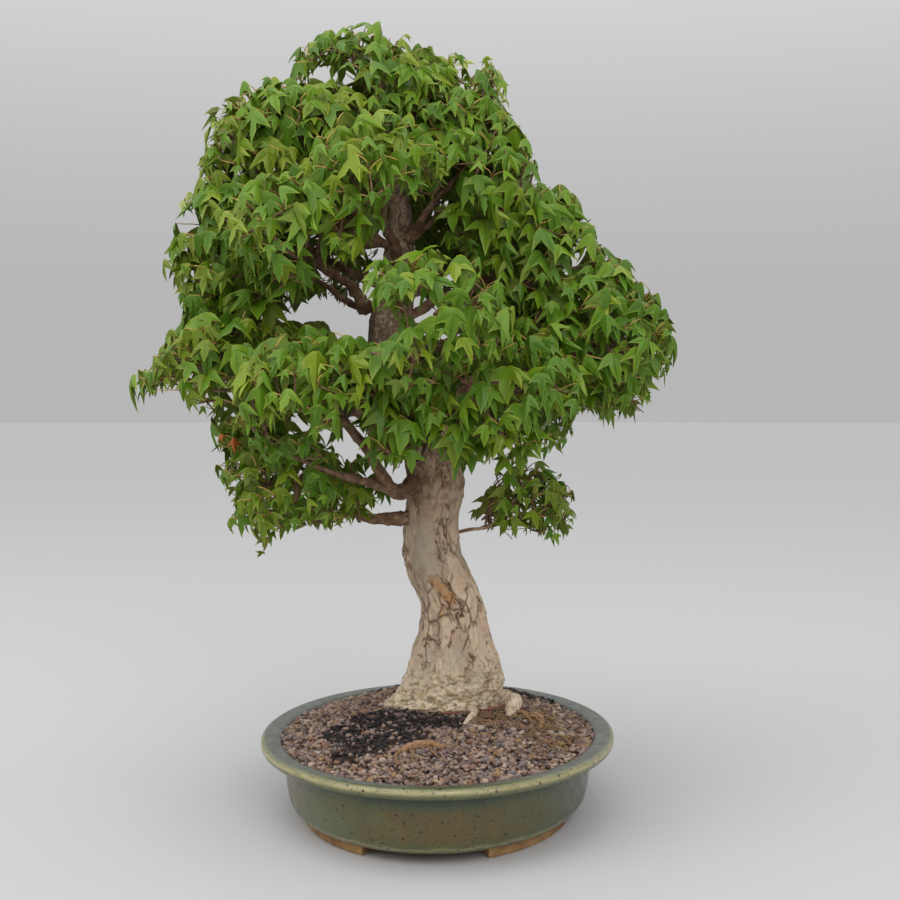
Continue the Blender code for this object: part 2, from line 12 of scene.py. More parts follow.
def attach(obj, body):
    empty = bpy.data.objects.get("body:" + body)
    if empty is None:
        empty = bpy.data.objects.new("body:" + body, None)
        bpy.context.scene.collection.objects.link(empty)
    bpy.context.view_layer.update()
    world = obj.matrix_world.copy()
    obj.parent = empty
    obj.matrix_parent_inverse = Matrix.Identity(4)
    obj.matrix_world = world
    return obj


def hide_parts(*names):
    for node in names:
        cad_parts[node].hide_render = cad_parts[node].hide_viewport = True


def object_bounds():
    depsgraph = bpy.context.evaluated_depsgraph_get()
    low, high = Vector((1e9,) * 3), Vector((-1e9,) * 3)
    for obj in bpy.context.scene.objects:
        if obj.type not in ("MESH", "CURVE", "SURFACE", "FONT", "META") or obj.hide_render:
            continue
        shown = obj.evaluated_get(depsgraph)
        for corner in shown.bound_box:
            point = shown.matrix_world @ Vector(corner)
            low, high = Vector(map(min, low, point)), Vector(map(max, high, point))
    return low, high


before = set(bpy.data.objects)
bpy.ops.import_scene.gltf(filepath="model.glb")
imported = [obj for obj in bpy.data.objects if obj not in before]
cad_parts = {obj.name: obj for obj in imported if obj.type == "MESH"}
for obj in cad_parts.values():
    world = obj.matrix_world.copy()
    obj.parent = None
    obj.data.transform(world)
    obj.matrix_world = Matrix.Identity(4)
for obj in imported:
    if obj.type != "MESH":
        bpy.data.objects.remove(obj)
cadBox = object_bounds()
up = Vector((0, 0, 1))
print("frame loaded:", len(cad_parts), "nodes")

# the camera stands a little to the right of the pot's middle and looks slightly down
cameraSetup = {
    "place": (0.1297, -1.3846, 0.3966),
    "azimuth": 3.6,
    "tiltDown": 1.73,
    "lens": 54,
    "sensor": 36,
}


def makeCamera():
    lens = bpy.data.cameras.new("camera")
    lens.sensor_width = cameraSetup["sensor"]
    lens.lens = cameraSetup["lens"]
    lens.clip_start = 0.01
    camera = bpy.data.objects.new("camera", lens)
    camera.location = cameraSetup["place"]
    camera.rotation_euler = (
        math.radians(90 - cameraSetup["tiltDown"]),
        0,
        math.radians(cameraSetup["azimuth"]),
    )
    bpy.context.scene.collection.objects.link(camera)
    bpy.context.scene.camera = camera


def clearSelection():
    if bpy.context.object and bpy.context.object.mode != "OBJECT":
        bpy.ops.object.mode_set(mode="OBJECT")
    bpy.ops.object.select_all(action="DESELECT")


def makeActive(piece):
    clearSelection()
    piece.select_set(True)
    bpy.context.view_layer.objects.active = piece


def openMesh(piece):
    # edit mode with everything selected
    makeActive(piece)
    bpy.ops.object.mode_set(mode="EDIT")
    bpy.ops.mesh.select_all(action="SELECT")


def closeMesh():
    bpy.ops.object.mode_set(mode="OBJECT")


def applyModifier(piece, kind, **settings):
    modifier = piece.modifiers.new(kind.title(), kind)
    for key, value in settings.items():
        setattr(modifier, key, value)
    makeActive(piece)
    bpy.ops.object.modifier_apply(modifier=modifier.name)


def finishPiece(piece, slotName, *nodes):
    makeActive(piece)
    bpy.ops.object.transform_apply(location=True, rotation=True, scale=True)
    if nodes:
        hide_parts(*nodes)
    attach(piece, "root")


def editSelect(piece, kind, chosen):
    # in edit mode, selects the verts, edges or faces for which chosen(item) is true
    modes = {"VERT": "verts", "EDGE": "edges", "FACE": "faces"}
    bpy.ops.mesh.select_mode(type=kind)
    bpy.ops.mesh.select_all(action="DESELECT")
    mesh = bmesh.from_edit_mesh(piece.data)
    for item in getattr(mesh, modes[kind]):
        item.select = bool(chosen(item))
    mesh.select_flush_mode()
    bmesh.update_edit_mesh(piece.data)


def meshFromArrays(name, points, loops, sizes, slots, materials):
    # one mesh from numpy arrays: corner points, corner numbers of all faces, corners per face, slots
    mesh = bpy.data.meshes.new(name)
    mesh.vertices.add(len(points))
    mesh.vertices.foreach_set("co", points.astype(np.float32).ravel())
    mesh.loops.add(len(loops))
    mesh.loops.foreach_set("vertex_index", loops.astype(np.int32))
    mesh.polygons.add(len(sizes))
    starts = np.concatenate(([0], np.cumsum(sizes)[:-1])).astype(np.int32)
    mesh.polygons.foreach_set("loop_start", starts)
    mesh.polygons.foreach_set("material_index", slots.astype(np.int32))
    mesh.update(calc_edges=True)
    for material in materials:
        mesh.materials.append(material)
    mesh.validate()
    piece = bpy.data.objects.new(name, mesh)
    bpy.context.scene.collection.objects.link(piece)
    return piece


# seeded noise for arrays of points
def hashed(cells, seed):
    x, y, z = cells[:, 0], cells[:, 1], cells[:, 2]
    mixed = (x * 374761393 + y * 668265263 + z * 1440662683 + seed * 974634777) & 0x7FFFFFFF
    mixed = ((mixed ^ (mixed >> 13)) * 1274126177) & 0x7FFFFFFF
    mixed = ((mixed ^ (mixed >> 15)) * 668265263) & 0x7FFFFFFF
    return ((mixed ^ (mixed >> 14)) & 0xFFFFF) / 0xFFFFF


def softNoise(points, seed):
    # smooth noise from -1 to 1, about one bump to each unit
    base = np.floor(points).astype(np.int64)
    part = points - base
    part = part * part * (3 - 2 * part)
    total = np.zeros(len(points))
    for corner in range(8):
        step = np.array([corner & 1, corner >> 1 & 1, corner >> 2 & 1])
        weight = np.prod(np.where(step, part, 1 - part), axis=1)
        total += weight * hashed(base + step, seed)
    return total * 2 - 1


def layeredNoise(points, seed, layers=3):
    total = np.zeros(len(points))
    for k in range(layers):
        total += softNoise(points * 2**k, seed + k) / 2**k
    return total / (2 - 2 ** (1 - layers))


def plateCells(points, seed):
    # cells about one unit across: distance to the border, a number for each cell, place in the cell
    base = np.floor(points).astype(np.int64)
    nearest = np.full(len(points), 9.0)
    second = np.full(len(points), 9.0)
    number = np.zeros(len(points))
    offset = np.zeros((len(points), 3))
    for step in np.ndindex(3, 3, 3):
        cell = base + np.array(step) - 1
        centre = cell + 0.1 + 0.8 * np.stack([hashed(cell, seed + k) for k in range(3)], axis=1)
        away = points - centre
        distance = np.linalg.norm(away, axis=1)
        closer = distance < nearest
        second = np.where(closer, nearest, np.minimum(second, distance))
        nearest = np.where(closer, distance, nearest)
        number = np.where(closer, hashed(cell, seed + 7), number)
        offset[closer] = away[closer]
    return second - nearest, number, offset


def unit(vectors):
    return vectors / np.maximum(np.linalg.norm(vectors, axis=-1, keepdims=True), 1e-9)


def bell(value, width):
    return np.exp(-((value / width) ** 2))


def degreesFrom(degrees, heading):
    return (degrees - heading + 180) % 360 - 180


def smoothStep(low, high, value):
    share = np.clip((value - low) / (high - low), 0, 1)
    return share * share * (3 - 2 * share)


# materials
def newMaterial(name, color, roughness, **sockets):
    material = bpy.data.materials.new(name)
    material.use_nodes = True
    material.diffuse_color = (*color, 1)
    shader = material.node_tree.nodes["Principled BSDF"]
    shader.inputs["Base Color"].default_value = (*color, 1)
    shader.inputs["Roughness"].default_value = roughness
    for key, value in sockets.items():
        shader.inputs[key.replace("_", " ")].default_value = value
    return material


class NodeBench:
    # short ways to add and join the nodes of a material or a world, with its colours by name
    def __init__(self, owner, palette=None, base=None, place="Object"):
        self.tree, self.palette, self.color = owner.node_tree, palette, base
        self.place = self.add("TexCoord", place, {})

    def add(self, kind, output, inputs, **settings):
        # a node with its settings, its inputs filled with values or joined to other nodes
        node = self.tree.nodes.new("ShaderNode" + kind)
        for key, value in settings.items():
            setattr(node, key, value)
        for key, value in inputs.items():
            if isinstance(value, bpy.types.NodeSocket):
                self.tree.links.new(value, node.inputs[key])
            else:
                node.inputs[key].default_value = value
        return node.outputs[output]

    def math(self, operation, first, second=0.0):
        return self.add("Math", 0, {0: first, 1: second}, operation=operation)

    def times(self, first, second):
        return self.math("MULTIPLY", first, second)

    def span(self, value, low, high, toLow=0.0, toHigh=1.0):
        ends = {"Value": value, "From Min": low, "From Max": high, "To Min": toLow, "To Max": toHigh}
        return self.add("MapRange", "Result", ends, interpolation_type="SMOOTHSTEP")

    def noise(self, scale, detail, stretch=(1, 1, 1)):
        place = self.add("Mapping", "Vector", {"Vector": self.place, "Scale": stretch})
        grain = {"Vector": place, "Scale": scale, "Detail": detail, "Roughness": 0.55}
        return self.add("TexNoise", "Fac", grain)

    def patches(self, scale, detail, low, high, toLow=0.0, toHigh=1.0, stretch=(1, 1, 1)):
        return self.span(self.noise(scale, detail, stretch), low, high, toLow, toHigh)

    def spots(self, scale):
        return self.add("TexVoronoi", "Distance", {"Vector": self.place, "Scale": scale}, feature="F1")

    def plates(self, scale, stretch, warp, warpScale):
        # distance to the border of stretched cells with crooked borders
        noise = self.add("TexNoise", "Color", {"Vector": self.place, "Scale": warpScale, "Detail": 3})
        lean = self.add("VectorMath", 0, {0: noise, 1: (0.5, 0.5, 0.5)}, operation="SUBTRACT")
        lean = self.add("VectorMath", 0, {0: lean, "Scale": warp / scale}, operation="SCALE")
        place = self.add("VectorMath", 0, {0: self.place, 1: lean}, operation="ADD")
        place = self.add("Mapping", "Vector", {"Vector": place, "Scale": stretch})
        cells = {"Vector": place, "Scale": scale}
        return self.add("TexVoronoi", "Distance", cells, feature="DISTANCE_TO_EDGE")

    def attribute(self, name):
        return self.add("Attribute", "Fac", {}, attribute_name=name)

    def axis(self, letter):
        return self.add("SeparateXYZ", letter, {0: self.place})

    def blend(self, amount, first, second):
        first, second = [
            (*self.palette[color], 1) if isinstance(color, str) else color for color in (first, second)
        ]
        # sockets 6 and 7 are the mix's two colours, and output 2 the mixed one
        return self.add("Mix", 2, {"Factor": amount, 6: first, 7: second}, data_type="RGBA")

    def coat(self, amount, color):
        # lays one more colour over the surface, by an amount from 0 to 1
        self.color = self.blend(amount, self.color, color)

    def join(self, output, socket, shader="Principled BSDF"):
        self.tree.links.new(output, self.tree.nodes[shader].inputs[socket])

    def finish(self, height, distance, strength):
        # joins the surface's colour and its fine relief to the shader
        bump = {"Height": height, "Distance": distance, "Strength": strength}
        self.join(self.color, "Base Color")
        self.join(self.add("Bump", "Normal", bump), "Normal")


def setAttribute(piece, name, values):
    layer = piece.data.attributes.new(name, "FLOAT", "POINT")
    layer.data.foreach_set("value", values.astype(np.float32))


def readPoints(piece):
    points = np.zeros(len(piece.data.vertices) * 3, np.float32)
    piece.data.vertices.foreach_get("co", points)
    return points.reshape(-1, 3).astype(float)


def writePoints(piece, points):
    piece.data.vertices.foreach_set("co", points.astype(np.float32).ravel())
    piece.data.update()


# the pot: each profile row is how far in from the rim's outline it lies, and its height
potShape = {
    "centre": (0.0335, -0.038),
    "halfWidth": 0.1754,
    "halfLength": 0.225,
    "sides": 144,
    "underside": [(0.0600, 0.009), (0.0415, 0.009)],
    "wall": [(0.0352, 0.0105), (0.0325, 0.0128), (0.0290, 0.0165), (0.0274, 0.0215), (0.0262, 0.027),
             (0.0248, 0.040), (0.0232, 0.055), (0.0222, 0.0618)],
    "lip": [(0.0180, 0.0645), (0.0090, 0.0652), (0.0030, 0.0662), (0.0004, 0.0695), (0.0001, 0.0730),
            (0.0014, 0.0758), (0.0045, 0.0771), (0.0105, 0.0768), (0.0165, 0.0761), (0.0198, 0.0745)],
    "inside": [(0.0212, 0.0720), (0.0250, 0.0660), (0.0295, 0.0600), (0.0335, 0.032), (0.0430, 0.0185)],
    "footFrom": 22,
    "footTo": 68,
    "footHeight": 0.009,
    "footEdge": 0.0012,
    "clayBelow": 0.0112,
    # heights and widths of the pale lines of painted highlight: the lip's roll and the wall's turn
    "lipRoll": (0.0732, 0.0030),
    "wallTurn": (0.0150, 0.0015),
    # heights between which the painted shade under the lip and the lip's own colour set in
    "underLip": (0.048, 0.064),
    "lipTop": (0.0745, 0.0762),
}


def ellipsePlace(inset, angle):
    x = (potShape["halfWidth"] - inset) * math.cos(angle) + potShape["centre"][0]
    y = (potShape["halfLength"] - inset) * math.sin(angle) + potShape["centre"][1]
    return x, y


def makePot(glaze, clay):
    rows = potShape["underside"] + potShape["wall"] + potShape["lip"] + potShape["inside"]
    cx, cy = potShape["centre"]
    clearSelection()
    bpy.ops.mesh.primitive_circle_add(
        vertices=potShape["sides"], radius=1, fill_type="NGON", location=(cx, cy, rows[0][1])
    )
    pot = bpy.context.object
    pot.name = "pot_glazed"
    pot.scale = (potShape["halfWidth"] - rows[0][0], potShape["halfLength"] - rows[0][0], 1)
    bpy.ops.object.transform_apply(location=True, rotation=True, scale=True)
    openMesh(pot)
    for (inset, height), (nextInset, nextHeight) in zip(rows, rows[1:]):
        wide = (potShape["halfWidth"] - nextInset) / (potShape["halfWidth"] - inset)
        long = (potShape["halfLength"] - nextInset) / (potShape["halfLength"] - inset)
        bpy.ops.mesh.extrude_region_move(TRANSFORM_OT_translate={"value": (0, 0, nextHeight - height)})
        bpy.ops.transform.resize(value=(wide, long, 1), center_override=(cx, cy, nextHeight))
    # the feet: four stretches of the ring under the pot
    low = potShape["underside"][0][1]

    def isFoot(face):
        middle = face.calc_center_median()
        if len(face.verts) > 4 or abs(middle.z - low) > 0.0004:
            return False
        across = abs(middle.x - cx) / potShape["halfWidth"]
        along = abs(middle.y - cy) / potShape["halfLength"]
        return potShape["footFrom"] < math.degrees(math.atan2(along, across)) < potShape["footTo"]

    bpy.ops.mesh.select_all(action="SELECT")
    bpy.ops.mesh.normals_make_consistent(inside=False)
    editSelect(pot, "FACE", isFoot)
    bpy.ops.mesh.extrude_region_move(TRANSFORM_OT_translate={"value": (0, 0, -potShape["footHeight"])})
    # rows of faces in both corners keep them crisp once the mesh is subdivided
    editSelect(pot, "EDGE", lambda edge: edge.is_manifold and edge.calc_face_angle(0) > 1.1
               and max(vert.co.z for vert in edge.verts) < low + 0.0004)
    bpy.ops.mesh.bevel(offset=potShape["footEdge"], segments=2)
    closeMesh()
    pot.data.materials.append(glaze)
    pot.data.materials.append(clay)
    applyModifier(pot, "SUBSURF", levels=1, render_levels=1, use_limit_surface=False)
    pot.data.shade_smooth()
    # painted highlight: pale lines along the roll of the lip and the turn of the wall
    points = readPoints(pot)
    reach = np.sqrt(((points[:, 0] - cx) / potShape["halfWidth"]) ** 2
                    + ((points[:, 1] - cy) / potShape["halfLength"]) ** 2)
    inset = (1 - reach) * (potShape["halfWidth"] + potShape["halfLength"]) / 2
    height = points[:, 2]
    wobble = softNoise(points * 60, 5) * 0.0007
    (rollHeight, rollWidth), (turnHeight, turnWidth) = potShape["lipRoll"], potShape["wallTurn"]
    roll = bell(height - rollHeight + wobble, rollWidth) * (inset < 0.0050)
    turn = bell(height - turnHeight + wobble * 1.6, turnWidth) * (inset > 0.024) * (inset < 0.034)
    setAttribute(pot, "edgeHighlight", np.clip(0.9 * roll**2 + 0.70 * turn, 0, 1))
    # the band under the lip: for its teal glaze and for the painted shade under the lip
    underLip = smoothStep(*potShape["underLip"], height) * (inset > 0.004) * (inset < 0.030)
    setAttribute(pot, "underLip", underLip)
    setAttribute(pot, "lipTop", smoothStep(*potShape["lipTop"], height))
    for face in pot.data.polygons:
        face.material_index = int(face.center.z < potShape["clayBelow"])
    finishPiece(pot, "glaze", "pot")


potColors = {
    "celadon": (0.098, 0.108, 0.044),
    "olive": (0.106, 0.074, 0.020),
    "teal": (0.029, 0.062, 0.036),
    "lip": (0.124, 0.138, 0.050),
    "lipTeal": (0.072, 0.098, 0.042),
    # the cream of the painted highlight on the lip's roll and the wall's turn
    "thin": (0.390, 0.340, 0.170),
    # painted shade: the dark band on the wall under the lip, where the lip's shadow falls
    "underLipShade": (0.020, 0.028, 0.017),
    "speck": (0.016, 0.014, 0.009),
    "clay": (0.33, 0.17, 0.065),
    "paleClay": (0.34, 0.205, 0.075),
    "burntClay": (0.19, 0.092, 0.038),
}


def makeGlaze():
    glaze = newMaterial("celadon_glaze", potColors["celadon"], 0.32, Coat_Weight=0.15, Coat_Roughness=0.22)
    bench = NodeBench(glaze, potColors, "celadon")
    height, underLip = bench.axis("Z"), bench.attribute("underLip")
    middleWall = bench.times(bench.span(height, 0.012, 0.026), bench.span(height, 0.062, 0.046))
    bench.coat(bench.times(bench.patches(11, 4, 0.36, 0.60, stretch=(1, 1, 1.6)), middleWall), "olive")
    # streaks that ran down, then teal under the lip and on the right
    bench.coat(bench.times(bench.patches(60, 3, 0.35, 0.70, stretch=(1, 1, 0.16)), 0.30), "teal")
    bench.coat(bench.times(bench.times(underLip, bench.patches(16, 3, 0.34, 0.60)), 0.9), "teal")
    right = bench.times(bench.span(bench.axis("X"), 0.100, 0.190), bench.span(height, 0.070, 0.045))
    bench.coat(bench.times(right, 0.7), "teal")
    lipColor = bench.blend(bench.patches(30, 4, 0.45, 0.66), "lip", "lipTeal")
    bench.coat(bench.times(bench.attribute("lipTop"), bench.patches(45, 4, 0.30, 0.75, 0.75, 1.0)), lipColor)
    # painted shade: the wall darkened just under the lip, where the lip's shadow falls
    bench.coat(bench.times(underLip, bench.span(height, 0.046, 0.064, 0, 0.80)), "underLipShade")
    # painted highlight: cream lines along the lip's roll and the wall's turn
    bench.coat(bench.times(bench.attribute("edgeHighlight"), bench.patches(70, 3, 0.25, 0.6, 0.6, 1.0)), "thin")
    specks = bench.times(bench.span(bench.spots(330), 0.28, 0.16), bench.patches(160, 2, 0.46, 0.54))
    bigSpecks = bench.times(bench.span(bench.spots(118), 0.165, 0.115), bench.patches(70, 2, 0.36, 0.44))
    bench.coat(bench.math("MAXIMUM", specks, bigSpecks), "speck")
    bench.join(bench.patches(90, 3, 0.3, 0.7, 0.24, 0.42), "Roughness")
    # the faint lines of the potter's wheel
    lines = bench.times(bench.noise(30, 2, (0.12, 0.12, 9)), 1.6)
    bench.finish(bench.math("ADD", bench.noise(240, 3), lines), 0.0005, 0.6)
    return glaze


def makeClay():
    clay = newMaterial("bare_clay", potColors["clay"], 0.82)
    bench = NodeBench(clay, potColors, "paleClay")
    bench.coat(bench.patches(35, 4, 0.35, 0.65), "burntClay")
    bench.finish(bench.noise(600, 3), 0.0004, 0.6)
    return clay


# the soil: level with the lip's inside at the wall, mounded to a flat patch under the trunk
soilShape = {
    "edge": 0.0722,
    "top": 0.0872,
    "flatRadius": 0.076,
    "inset": 0.0216,
    "heapHeight": 0.0018,
    "heapWidth": 0.0085,
    "heapRings": 6,
    "heapSides": 36,
    "heapSpan": 0.075,
    "foot": (0.036, 0.035),
    "sides": 96,
    "rows": [0.0, 0.12, 0.25, 0.4, 0.6, 0.8, 1.0],
    "bedBelow": 0.0034,
    "pitch": 0.0047,
    "layers": 2,
    "grain": (0.0034, 0.0086),
    "grainSizes": {"pale": 1.12, "ochre": 1.12, "black": 0.66},
    "upperPitch": 2.1,
    "rowPitch": 0.87,
    "bareRadius": 0.040,
    "sunk": 0.36,
    "layerRise": 0.0016,
    # the black grit lies higher behind the trunk, and all the grains do at the wall
    "blackRise": (0.0004, 0.0026),
    "behind": 0.05,
    "rimRise": 0.0011,
}


def soilHeight(x, y):
    # the height of the mound at one place
    fx, fy = soilShape["foot"]
    away = Vector((x - fx, y - fy))
    if away.length <= soilShape["flatRadius"]:
        return soilShape["top"]
    heading = away.normalized()
    cx, cy = potShape["centre"]
    wide = potShape["halfWidth"] - soilShape["inset"]
    long = potShape["halfLength"] - soilShape["inset"]
    # where the ray from the trunk's foot meets the soil's edge
    px, py = (fx - cx) / wide, (fy - cy) / long
    dx, dy = heading.x / wide, heading.y / long
    a, b, c = dx * dx + dy * dy, px * dx + py * dy, px * px + py * py - 1
    reach = (-b + math.sqrt(b * b - a * c)) / a
    share = min(1, (away.length - soilShape["flatRadius"]) / (reach - soilShape["flatRadius"]))
    mound = soilShape["edge"] + (soilShape["top"] - soilShape["edge"]) * math.sin((1 - share) * math.pi / 2)
    near = min((away - heap).length for heap in soilHeaps)
    return mound + soilShape["heapHeight"] * math.exp(-((near / soilShape["heapWidth"]) ** 2))


def planHeaps():
    # low heaps about 30 mm apart in rings round the trunk's foot, measured from it
    heaps = []
    foot = Vector(soilShape["foot"])
    rings, sides = soilShape["heapRings"], soilShape["heapSides"]
    for ring in range(rings):
        for side in range(sides):
            angle = math.tau * (side + 0.5) / sides
            edge = Vector(ellipsePlace(soilShape["inset"], angle)) - foot
            inner = soilShape["flatRadius"] * Vector((math.cos(angle), math.sin(angle)))
            if (edge - inner).length > soilShape["heapSpan"]:
                heaps.append(edge.lerp(inner, (ring + 0.5) / rings))
    return heaps


# patches of the soil's surface, by what is strewn there: middle, and half widths along X and Y
soilPatches = {
    "black": [((-0.006, -0.050), (0.060, 0.046)), ((0.050, -0.056), (0.024, 0.030)),
              ((-0.058, -0.090), (0.022, 0.034)), ((-0.026, -0.130), (0.026, 0.036)),
              ((0.006, -0.112), (0.028, 0.024)), ((-0.028, 0.130), (0.034, 0.032)),
              ((0.114, 0.126), (0.046, 0.034)), ((0.147, 0.100), (0.022, 0.028)),
              ((0.110, 0.070), (0.030, 0.022)), ((-0.044, -0.160), (0.016, 0.020))],
    "mossy": [((0.128, -0.040), (0.036, 0.050)), ((0.150, -0.100), (0.026, 0.044)),
              ((0.095, -0.040), (0.034, 0.040))],
}
grainColors = {
    "mauve": (0.275, 0.188, 0.145),
    "plum": (0.165, 0.110, 0.102),
    "rust": (0.205, 0.112, 0.070),
    "ochre": (0.270, 0.170, 0.078),
    "pale": (0.385, 0.296, 0.230),
    "slate": (0.170, 0.146, 0.138),
    "black": (0.014, 0.011, 0.012),
    "umber": (0.075, 0.046, 0.034),
}
grainMixes = {
    "plain": {"mauve": 34, "plum": 24, "rust": 11, "ochre": 4, "pale": 9, "slate": 9, "umber": 12},
    "black": {"black": 80, "umber": 10, "plum": 6, "mauve": 4},
    "mossy": {"ochre": 13, "rust": 18, "umber": 18, "mauve": 26, "plum": 16, "pale": 9},
}


soilHeaps = planHeaps()


def patchWeight(kind, x, y):
    weight = 0
    for (px, py), (wide, long) in soilPatches[kind]:
        weight = max(weight, 1.25 - ((x - px) / wide) ** 2 - ((y - py) / long) ** 2)
    return weight


def makeSoilBed(material):
    fx, fy = soilShape["foot"]
    clearSelection()
    bpy.ops.mesh.primitive_circle_add(
        vertices=soilShape["sides"], radius=soilShape["flatRadius"], fill_type="NGON",
        location=(fx, fy, soilShape["top"] - soilShape["bedBelow"]),
    )
    bed = bpy.context.object
    bed.name = "soil_bed"
    bpy.ops.object.transform_apply(location=True)
    sides, rows = soilShape["sides"], soilShape["rows"]
    openMesh(bed)
    # the skirt runs down and out to the pot's wall, then down once more
    for _ in rows:
        bpy.ops.mesh.extrude_region_move(TRANSFORM_OT_translate={"value": (0, 0, -0.001)})
    closeMesh()
    points = readPoints(bed)
    for index in range(len(points)):
        row = index // sides
        angle = math.atan2(points[index, 1] - fy, points[index, 0] - fx)
        inner = Vector((fx + soilShape["flatRadius"] * math.cos(angle),
                        fy + soilShape["flatRadius"] * math.sin(angle)))
        edge = Vector(ellipsePlace(soilShape["inset"] + 0.0012, angle))
        place = inner.lerp(edge, rows[min(row, len(rows) - 1)])
        height = soilHeight(*place) - soilShape["bedBelow"]
        if row >= len(rows):
            height -= 0.008
        points[index] = (*place, height)
    writePoints(bed, points)
    openMesh(bed)
    bpy.ops.mesh.normals_make_consistent(inside=False)
    closeMesh()
    bed.data.materials.append(material)
    bed.data.shade_smooth()
    finishPiece(bed, "grit", "soil")


def grainShapes(rng):
    # a few angular stones, each from an icosahedron squashed and knocked about
    shapes = []
    for number in range(8):
        clearSelection()
        bpy.ops.mesh.primitive_ico_sphere_add(subdivisions=1, radius=0.5)
        stone = bpy.context.object
        openMesh(stone)
        bpy.ops.transform.resize(value=(1.12, rng.uniform(0.75, 1.0), rng.uniform(0.55, 0.8)))
        bpy.ops.transform.vertex_random(offset=0.16, uniform=0.8, normal=0.2, seed=number + 3)
        closeMesh()
        points = readPoints(stone)
        faces = np.array([list(face.vertices) for face in stone.data.polygons])
        bpy.data.objects.remove(stone)
        shapes.append((points, faces))
    return shapes


def makeGrains(materials):
    rng = random.Random(77)
    shapes = grainShapes(rng)
    names = list(grainColors)
    cx, cy = potShape["centre"]
    wide = potShape["halfWidth"] - soilShape["inset"]
    long = potShape["halfLength"] - soilShape["inset"]
    points, faces, slots = [], [], []
    total = 0
    for layer in range(soilShape["layers"]):
        step = soilShape["pitch"] * (soilShape["upperPitch"] if layer else 1)
        for row in range(int(2 * long / (step * soilShape["rowPitch"])) + 1):
            for column in range(int(2 * wide / step) + 1):
                x = cx - wide + (column + 0.5 * (row % 2)) * step + rng.uniform(-0.5, 0.5) * step
                y = cy - long + row * step * soilShape["rowPitch"] + rng.uniform(-0.5, 0.5) * step
                reach = ((x - cx) / (wide + 0.0010)) ** 2 + ((y - cy) / (long + 0.0010)) ** 2
                bare = math.hypot(x - trunkRows[0][1], y - trunkRows[0][2]) < soilShape["bareRadius"]
                if reach > 1 or bare:
                    continue
                black, mossy = patchWeight("black", x, y), patchWeight("mossy", x, y)
                kind = "plain"
                if black > rng.uniform(0.1, 0.8):
                    kind = "black"
                elif mossy > rng.uniform(0.2, 1.3):
                    kind = "mossy"
                mix = grainMixes[kind]
                color = rng.choices(list(mix), list(mix.values()))[0]
                least, most = soilShape["grain"]
                size = least + (most - least) * rng.random() ** 1.8 + (0.0010 if layer else 0)
                size *= soilShape["grainSizes"].get(color, 1)
                height = soilHeight(x, y) - size * soilShape["sunk"] + rng.uniform(-0.0006, 0.0009)
                blackRise = soilShape["blackRise"][y > soilShape["behind"]]
                height += soilShape["layerRise"] * layer + max(0, min(1, black)) * blackRise
                height += soilShape["rimRise"] * max(0, min(1, (reach - 0.86) / 0.08))
                turn = Matrix.Rotation(rng.uniform(0, math.tau), 3, "Z")
                turn = turn @ Matrix.Rotation(rng.uniform(-0.7, 0.7), 3, "X")
                shape, sides = shapes[rng.randrange(len(shapes))]
                points.append(shape @ np.array(turn).T * size + (x, y, height))
                faces.append(sides + total)
                slots.append(np.full(len(sides), names.index(color)))
                total += len(shape)
    loops = np.concatenate(faces)
    grains = meshFromArrays("soil_grains", np.concatenate(points), loops.ravel(),
                            np.full(len(loops), 3), np.concatenate(slots), materials)
    print("soil:", len(points), "grains,", len(loops), "triangles")
    finishPiece(grains, "grit")


# the trunk: height of its middle line, x, y and radius
trunkRows = [
    (0.0875, 0.036, 0.035, 0.0515),
    (0.098, 0.041, 0.034, 0.0490),
    (0.114, 0.0450, 0.033, 0.0478),
    (0.140, 0.0450, 0.032, 0.0435),
    (0.165, 0.0445, 0.031, 0.0364),
    (0.192, 0.0420, 0.031, 0.0322),
    (0.216, 0.0315, 0.031, 0.0338),
    (0.244, 0.0230, 0.030, 0.0306),
    (0.275, 0.0205, 0.027, 0.0292),
    (0.320, 0.0255, 0.020, 0.0308),
    (0.360, 0.0185, 0.016, 0.0292),
    (0.405, 0.0030, 0.015, 0.0278),
    (0.460, -0.0180, 0.018, 0.0248),
    (0.521, -0.0170, 0.022, 0.0188),
    (0.580, -0.0100, 0.023, 0.0130),
    (0.640, -0.0140, 0.020, 0.0088),
    (0.690, -0.0190, 0.017, 0.0052),
]
trunkShape = {
    "sides": 208,
    "cuts": (19, 19),
    "paleFoot": (0.150, 0.098),
    "knobs": 0.0052,
    "wrinkles": 0.0021,
    "fallen": 0.0016,
    "collars": 0.0026,
    "collarsTo": 0.16,
    "foot": 0.0835,
    "spacing": 1.12,
    "waves": [(2, 14, 0.035), (3, -21, 0.030)],
    "flareHeight": 0.022,
    "buttresses": [(200, 0.22), (250, 0.08), (345, 0.14), (30, 0.12), (90, 0.20), (145, 0.10)],
    "buttressSpread": 20,
    # knots: height, degrees round from +X, radius, how proud
    "knots": [(0.352, 252, 0.017, 0.0065), (0.330, 236, 0.012, 0.0030), (0.247, 205, 0.0075, 0.0028),
              (0.128, 318, 0.011, 0.0030), (0.118, 285, 0.012, 0.0024), (0.106, 222, 0.013, 0.0026),
              (0.300, 100, 0.013, 0.0030), (0.222, 60, 0.012, 0.0026), (0.150, 150, 0.014, 0.0030)],
}
barkShape = {
    "plate": 0.0165,
    "stretch": 0.36,
    "crackDepth": 0.0022,
    "crackWidth": 0.038,
    "lift": 0.0026,
    "peel": 0.0034,
    "grain": 0.00040,
    "warp": 0.34,
    "jag": 0.15,
    "opened": (-0.35, 0.10),
    "hollow": 0.0022,
}
